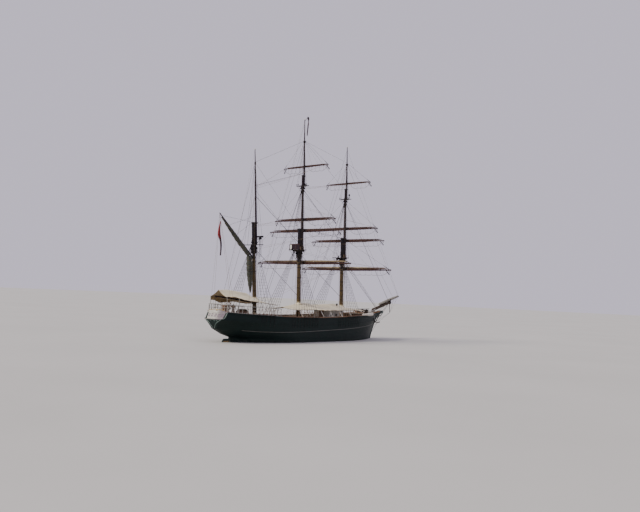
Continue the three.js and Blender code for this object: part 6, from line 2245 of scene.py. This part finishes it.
def build_radar():
    """The radar on its bracket before the mizzen: a scanner, its motor, and two cables."""
    bm = bmesh.new()
    mizzen = MASTS["mizzen"]
    z, out = up(mizzen, RADAR["z"]), RADAR["out"]
    block(bm, (0.5, -0.06, z - 0.22), (out + 0.15, 0.06, z - 0.12), 0.015)
    plate(bm, [(0.6, z - 0.75), (0.68, z - 0.75), (out, z - 0.22), (out - 0.1, z - 0.22)], 0.05, None, 0.01)
    turned(bm, (out, 0, z - 0.2), (out, 0, z + 0.12), [(0, 0.2), (0.3, 0.22), (0.7, 0.16), (1, 0.08)], 16, 1)
    around = [tau * k / 12 for k in range(12)]
    skin(bm, [
        [Vector((out + 0.1 * cos(a), y, z + 0.15 + 0.12 * sin(a))) for a in around]
        for y in shares(-RADAR["half"], RADAR["half"], 8)
    ], material=1)
    for y in (-0.12, 0.12):
        rod(bm, (out - 0.02, y, z - 2.6), (out - 0.02, y, z - 0.15), 0.03)
    lean(bm, mizzen)
    made = piece("radar_scanner", bm, [IRON, MASTHEAD_BLACK])
    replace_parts(made, "radar")


def build_masthead_blocks():
    """The blocks that crowd the tops and the crosstrees, and the three large ones that hang clear of them."""
    bm = bmesh.new()
    for name, mast in MASTS.items():
        groups = [(mast.top - 0.45, 0.0, 0.45, 10, 0.11), (mast.top - 0.95, 0.0, 0.34, 8, 0.1)]
        if mast.crosstrees:
            groups.append((mast.crosstrees - 0.35, TOPMAST_OFFSET, 0.3, 7, 0.09))
            groups.append((mast.crosstrees - 0.8, TOPMAST_OFFSET, 0.22, 6, 0.08))
        else:
            groups.append((mast.top + 0.35, 0.1, 0.36, 8, 0.1))
        for z, forward, reach, count, size in groups:
            for k in range(count):
                a = tau * (k + 0.3) / count
                behind_crane = mast.crosstrees and forward == 0.0 and cos(a) > 0.6
                if not behind_crane:
                    height = z + 0.12 * wrinkle((k, z, 0), 3.1)
                    at = on_mast(name, height, forward + reach * cos(a), reach * sin(a))
                    ball(bm, at, (size, size * 0.7, size * 1.5))
    for name, z, forward, y in (
        ("fore", 22.2, TOPMAST_OFFSET - 0.22, -0.95), ("main", 13.05, -0.95, -0.9),
        ("main", 13.05, -0.95, 0.5),
    ):
        ball(bm, on_mast(name, z, forward, y), (0.14, 0.12, 0.22))
    piece("masthead_blocks", bm, [MASTHEAD_BLACK])


def build_main_top_railing():
    """The screened railing at the after edge of the main top."""
    bm = bmesh.new()
    main = MASTS["main"]
    top = up(main, main.top)
    block(bm, (-1.0, -0.98, top + 0.72), (-0.9, 0.98, top + 0.86), 0.02)
    block(bm, (-0.97, -0.98, top + 0.06), (-0.93, 0.98, top + 0.74), 0.015, 2)
    block(bm, (-1.0, 0.55, top + 0.08), (-0.9, 0.86, top + 0.84), 0.02, 1)
    for y in (-0.95, -0.32, 0.32):
        rod(bm, (-0.95, y, top + 0.06), (-0.95, y, top + 0.8), 0.035)
    lean(bm, main)
    piece("main_top_railing", bm, [YARD_WOOD, WHITE, MAST_WOOD])


def build_tops():
    """Finishes and eases the edges of the CAD's own tops and crosstrees. The house is eased too."""
    for name, material in (
        ("fore_top", BLACK_BOARDS), ("main_top", BLACK_BOARDS),
        ("fore_crosstrees", IRON), ("main_crosstrees", IRON), ("mizzen_crosstrees", IRON),
    ):
        dress(name, material)
        soften(name)
    soften("deckhouse")


def soften(node):
    """Eases a CAD node's hard edges."""
    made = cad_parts[node]
    made.modifiers.new("joined", "WELD").merge_threshold = 20 * WELD
    bevel = made.modifiers.new("eased", "BEVEL")
    bevel.width, bevel.segments, bevel.limit_method, bevel.angle_limit = 0.006, 1, "ANGLE", radians(40)


# Stage, light and camera

def build_stage():
    """The pale floor at the waterline's height, the soft sky and one low sun."""
    bm = bmesh.new()
    bmesh.ops.create_grid(bm, x_segments=4, y_segments=4, size=400)
    mesh = bpy.data.meshes.new("floor")
    bm.to_mesh(mesh)
    bm.free()
    floor = bpy.data.objects.new("floor", mesh)
    bpy.context.scene.collection.objects.link(floor)
    pale = Finish("pale_floor")
    colour = pale.gradient(pale.speckle(0.05), (0.3, (0.5, 0.5, 0.47)), (0.7, (0.54, 0.54, 0.51)))
    mesh.materials.append(pale.finish(colour, 0.75))
    world = bpy.data.worlds.new("soft_studio")
    bpy.context.scene.world = world
    world.use_nodes = True
    sky = world.node_tree.nodes["Background"].inputs
    sky["Color"].default_value, sky["Strength"].default_value = (0.7, 0.65, 0.78, 1), 1.0
    sun = bpy.data.lights.new("window_light", "SUN")
    sun.energy, sun.angle, sun.color = 3.2, 0.25, (1.0, 0.93, 0.8)
    lamp = bpy.data.objects.new("window_light", sun)
    lamp.rotation_euler = Vector((0.75, -0.35, -0.62)).to_track_quat("-Z", "Y").to_euler()
    bpy.context.scene.collection.objects.link(lamp)


VIEWER = Vector((-76.643, -68.751, 6.465))
VIEW_RIGHT = Vector((0.64581718, -0.76224697, 0.04358587))
VIEW_UP = Vector((-0.07101091, -0.00312818, 0.99747063))
VIEW_AHEAD = Vector((0.76018262, 0.64727874, 0.05614808))


def build_camera():
    """The camera stands where the photograph was taken from, at the model's scale."""
    lens = bpy.data.cameras.new("camera")
    lens.lens, lens.sensor_width, lens.clip_end = 40.0, 36.0, 1000
    camera = bpy.data.objects.new("camera", lens)
    turn = Matrix((VIEW_RIGHT, VIEW_UP, -VIEW_AHEAD)).transposed()
    camera.matrix_world = Matrix.Translation(VIEWER * MODEL) @ turn.to_4x4()
    bpy.context.scene.collection.objects.link(camera)
    bpy.context.scene.camera = camera


build_camera()
build_stage()
build_hull()
build_wales()
build_keel()
build_decks()
build_bulkheads()
build_bulwarks()
build_rails()
build_stern()
build_bow()
build_lower_masts()
build_upper_masts()
build_yards()
build_spanker()
build_flags()
build_bowsprit()
build_headsails()
build_awnings()
build_shrouds()
build_stays()
build_lifts_and_braces()
build_gear_of_the_spanker()
build_halyards()
build_deckhouse()
build_hatch()
build_windlass()
build_steering()
build_underwater()
build_radar()
build_masthead_blocks()
build_main_top_railing()
build_tops()
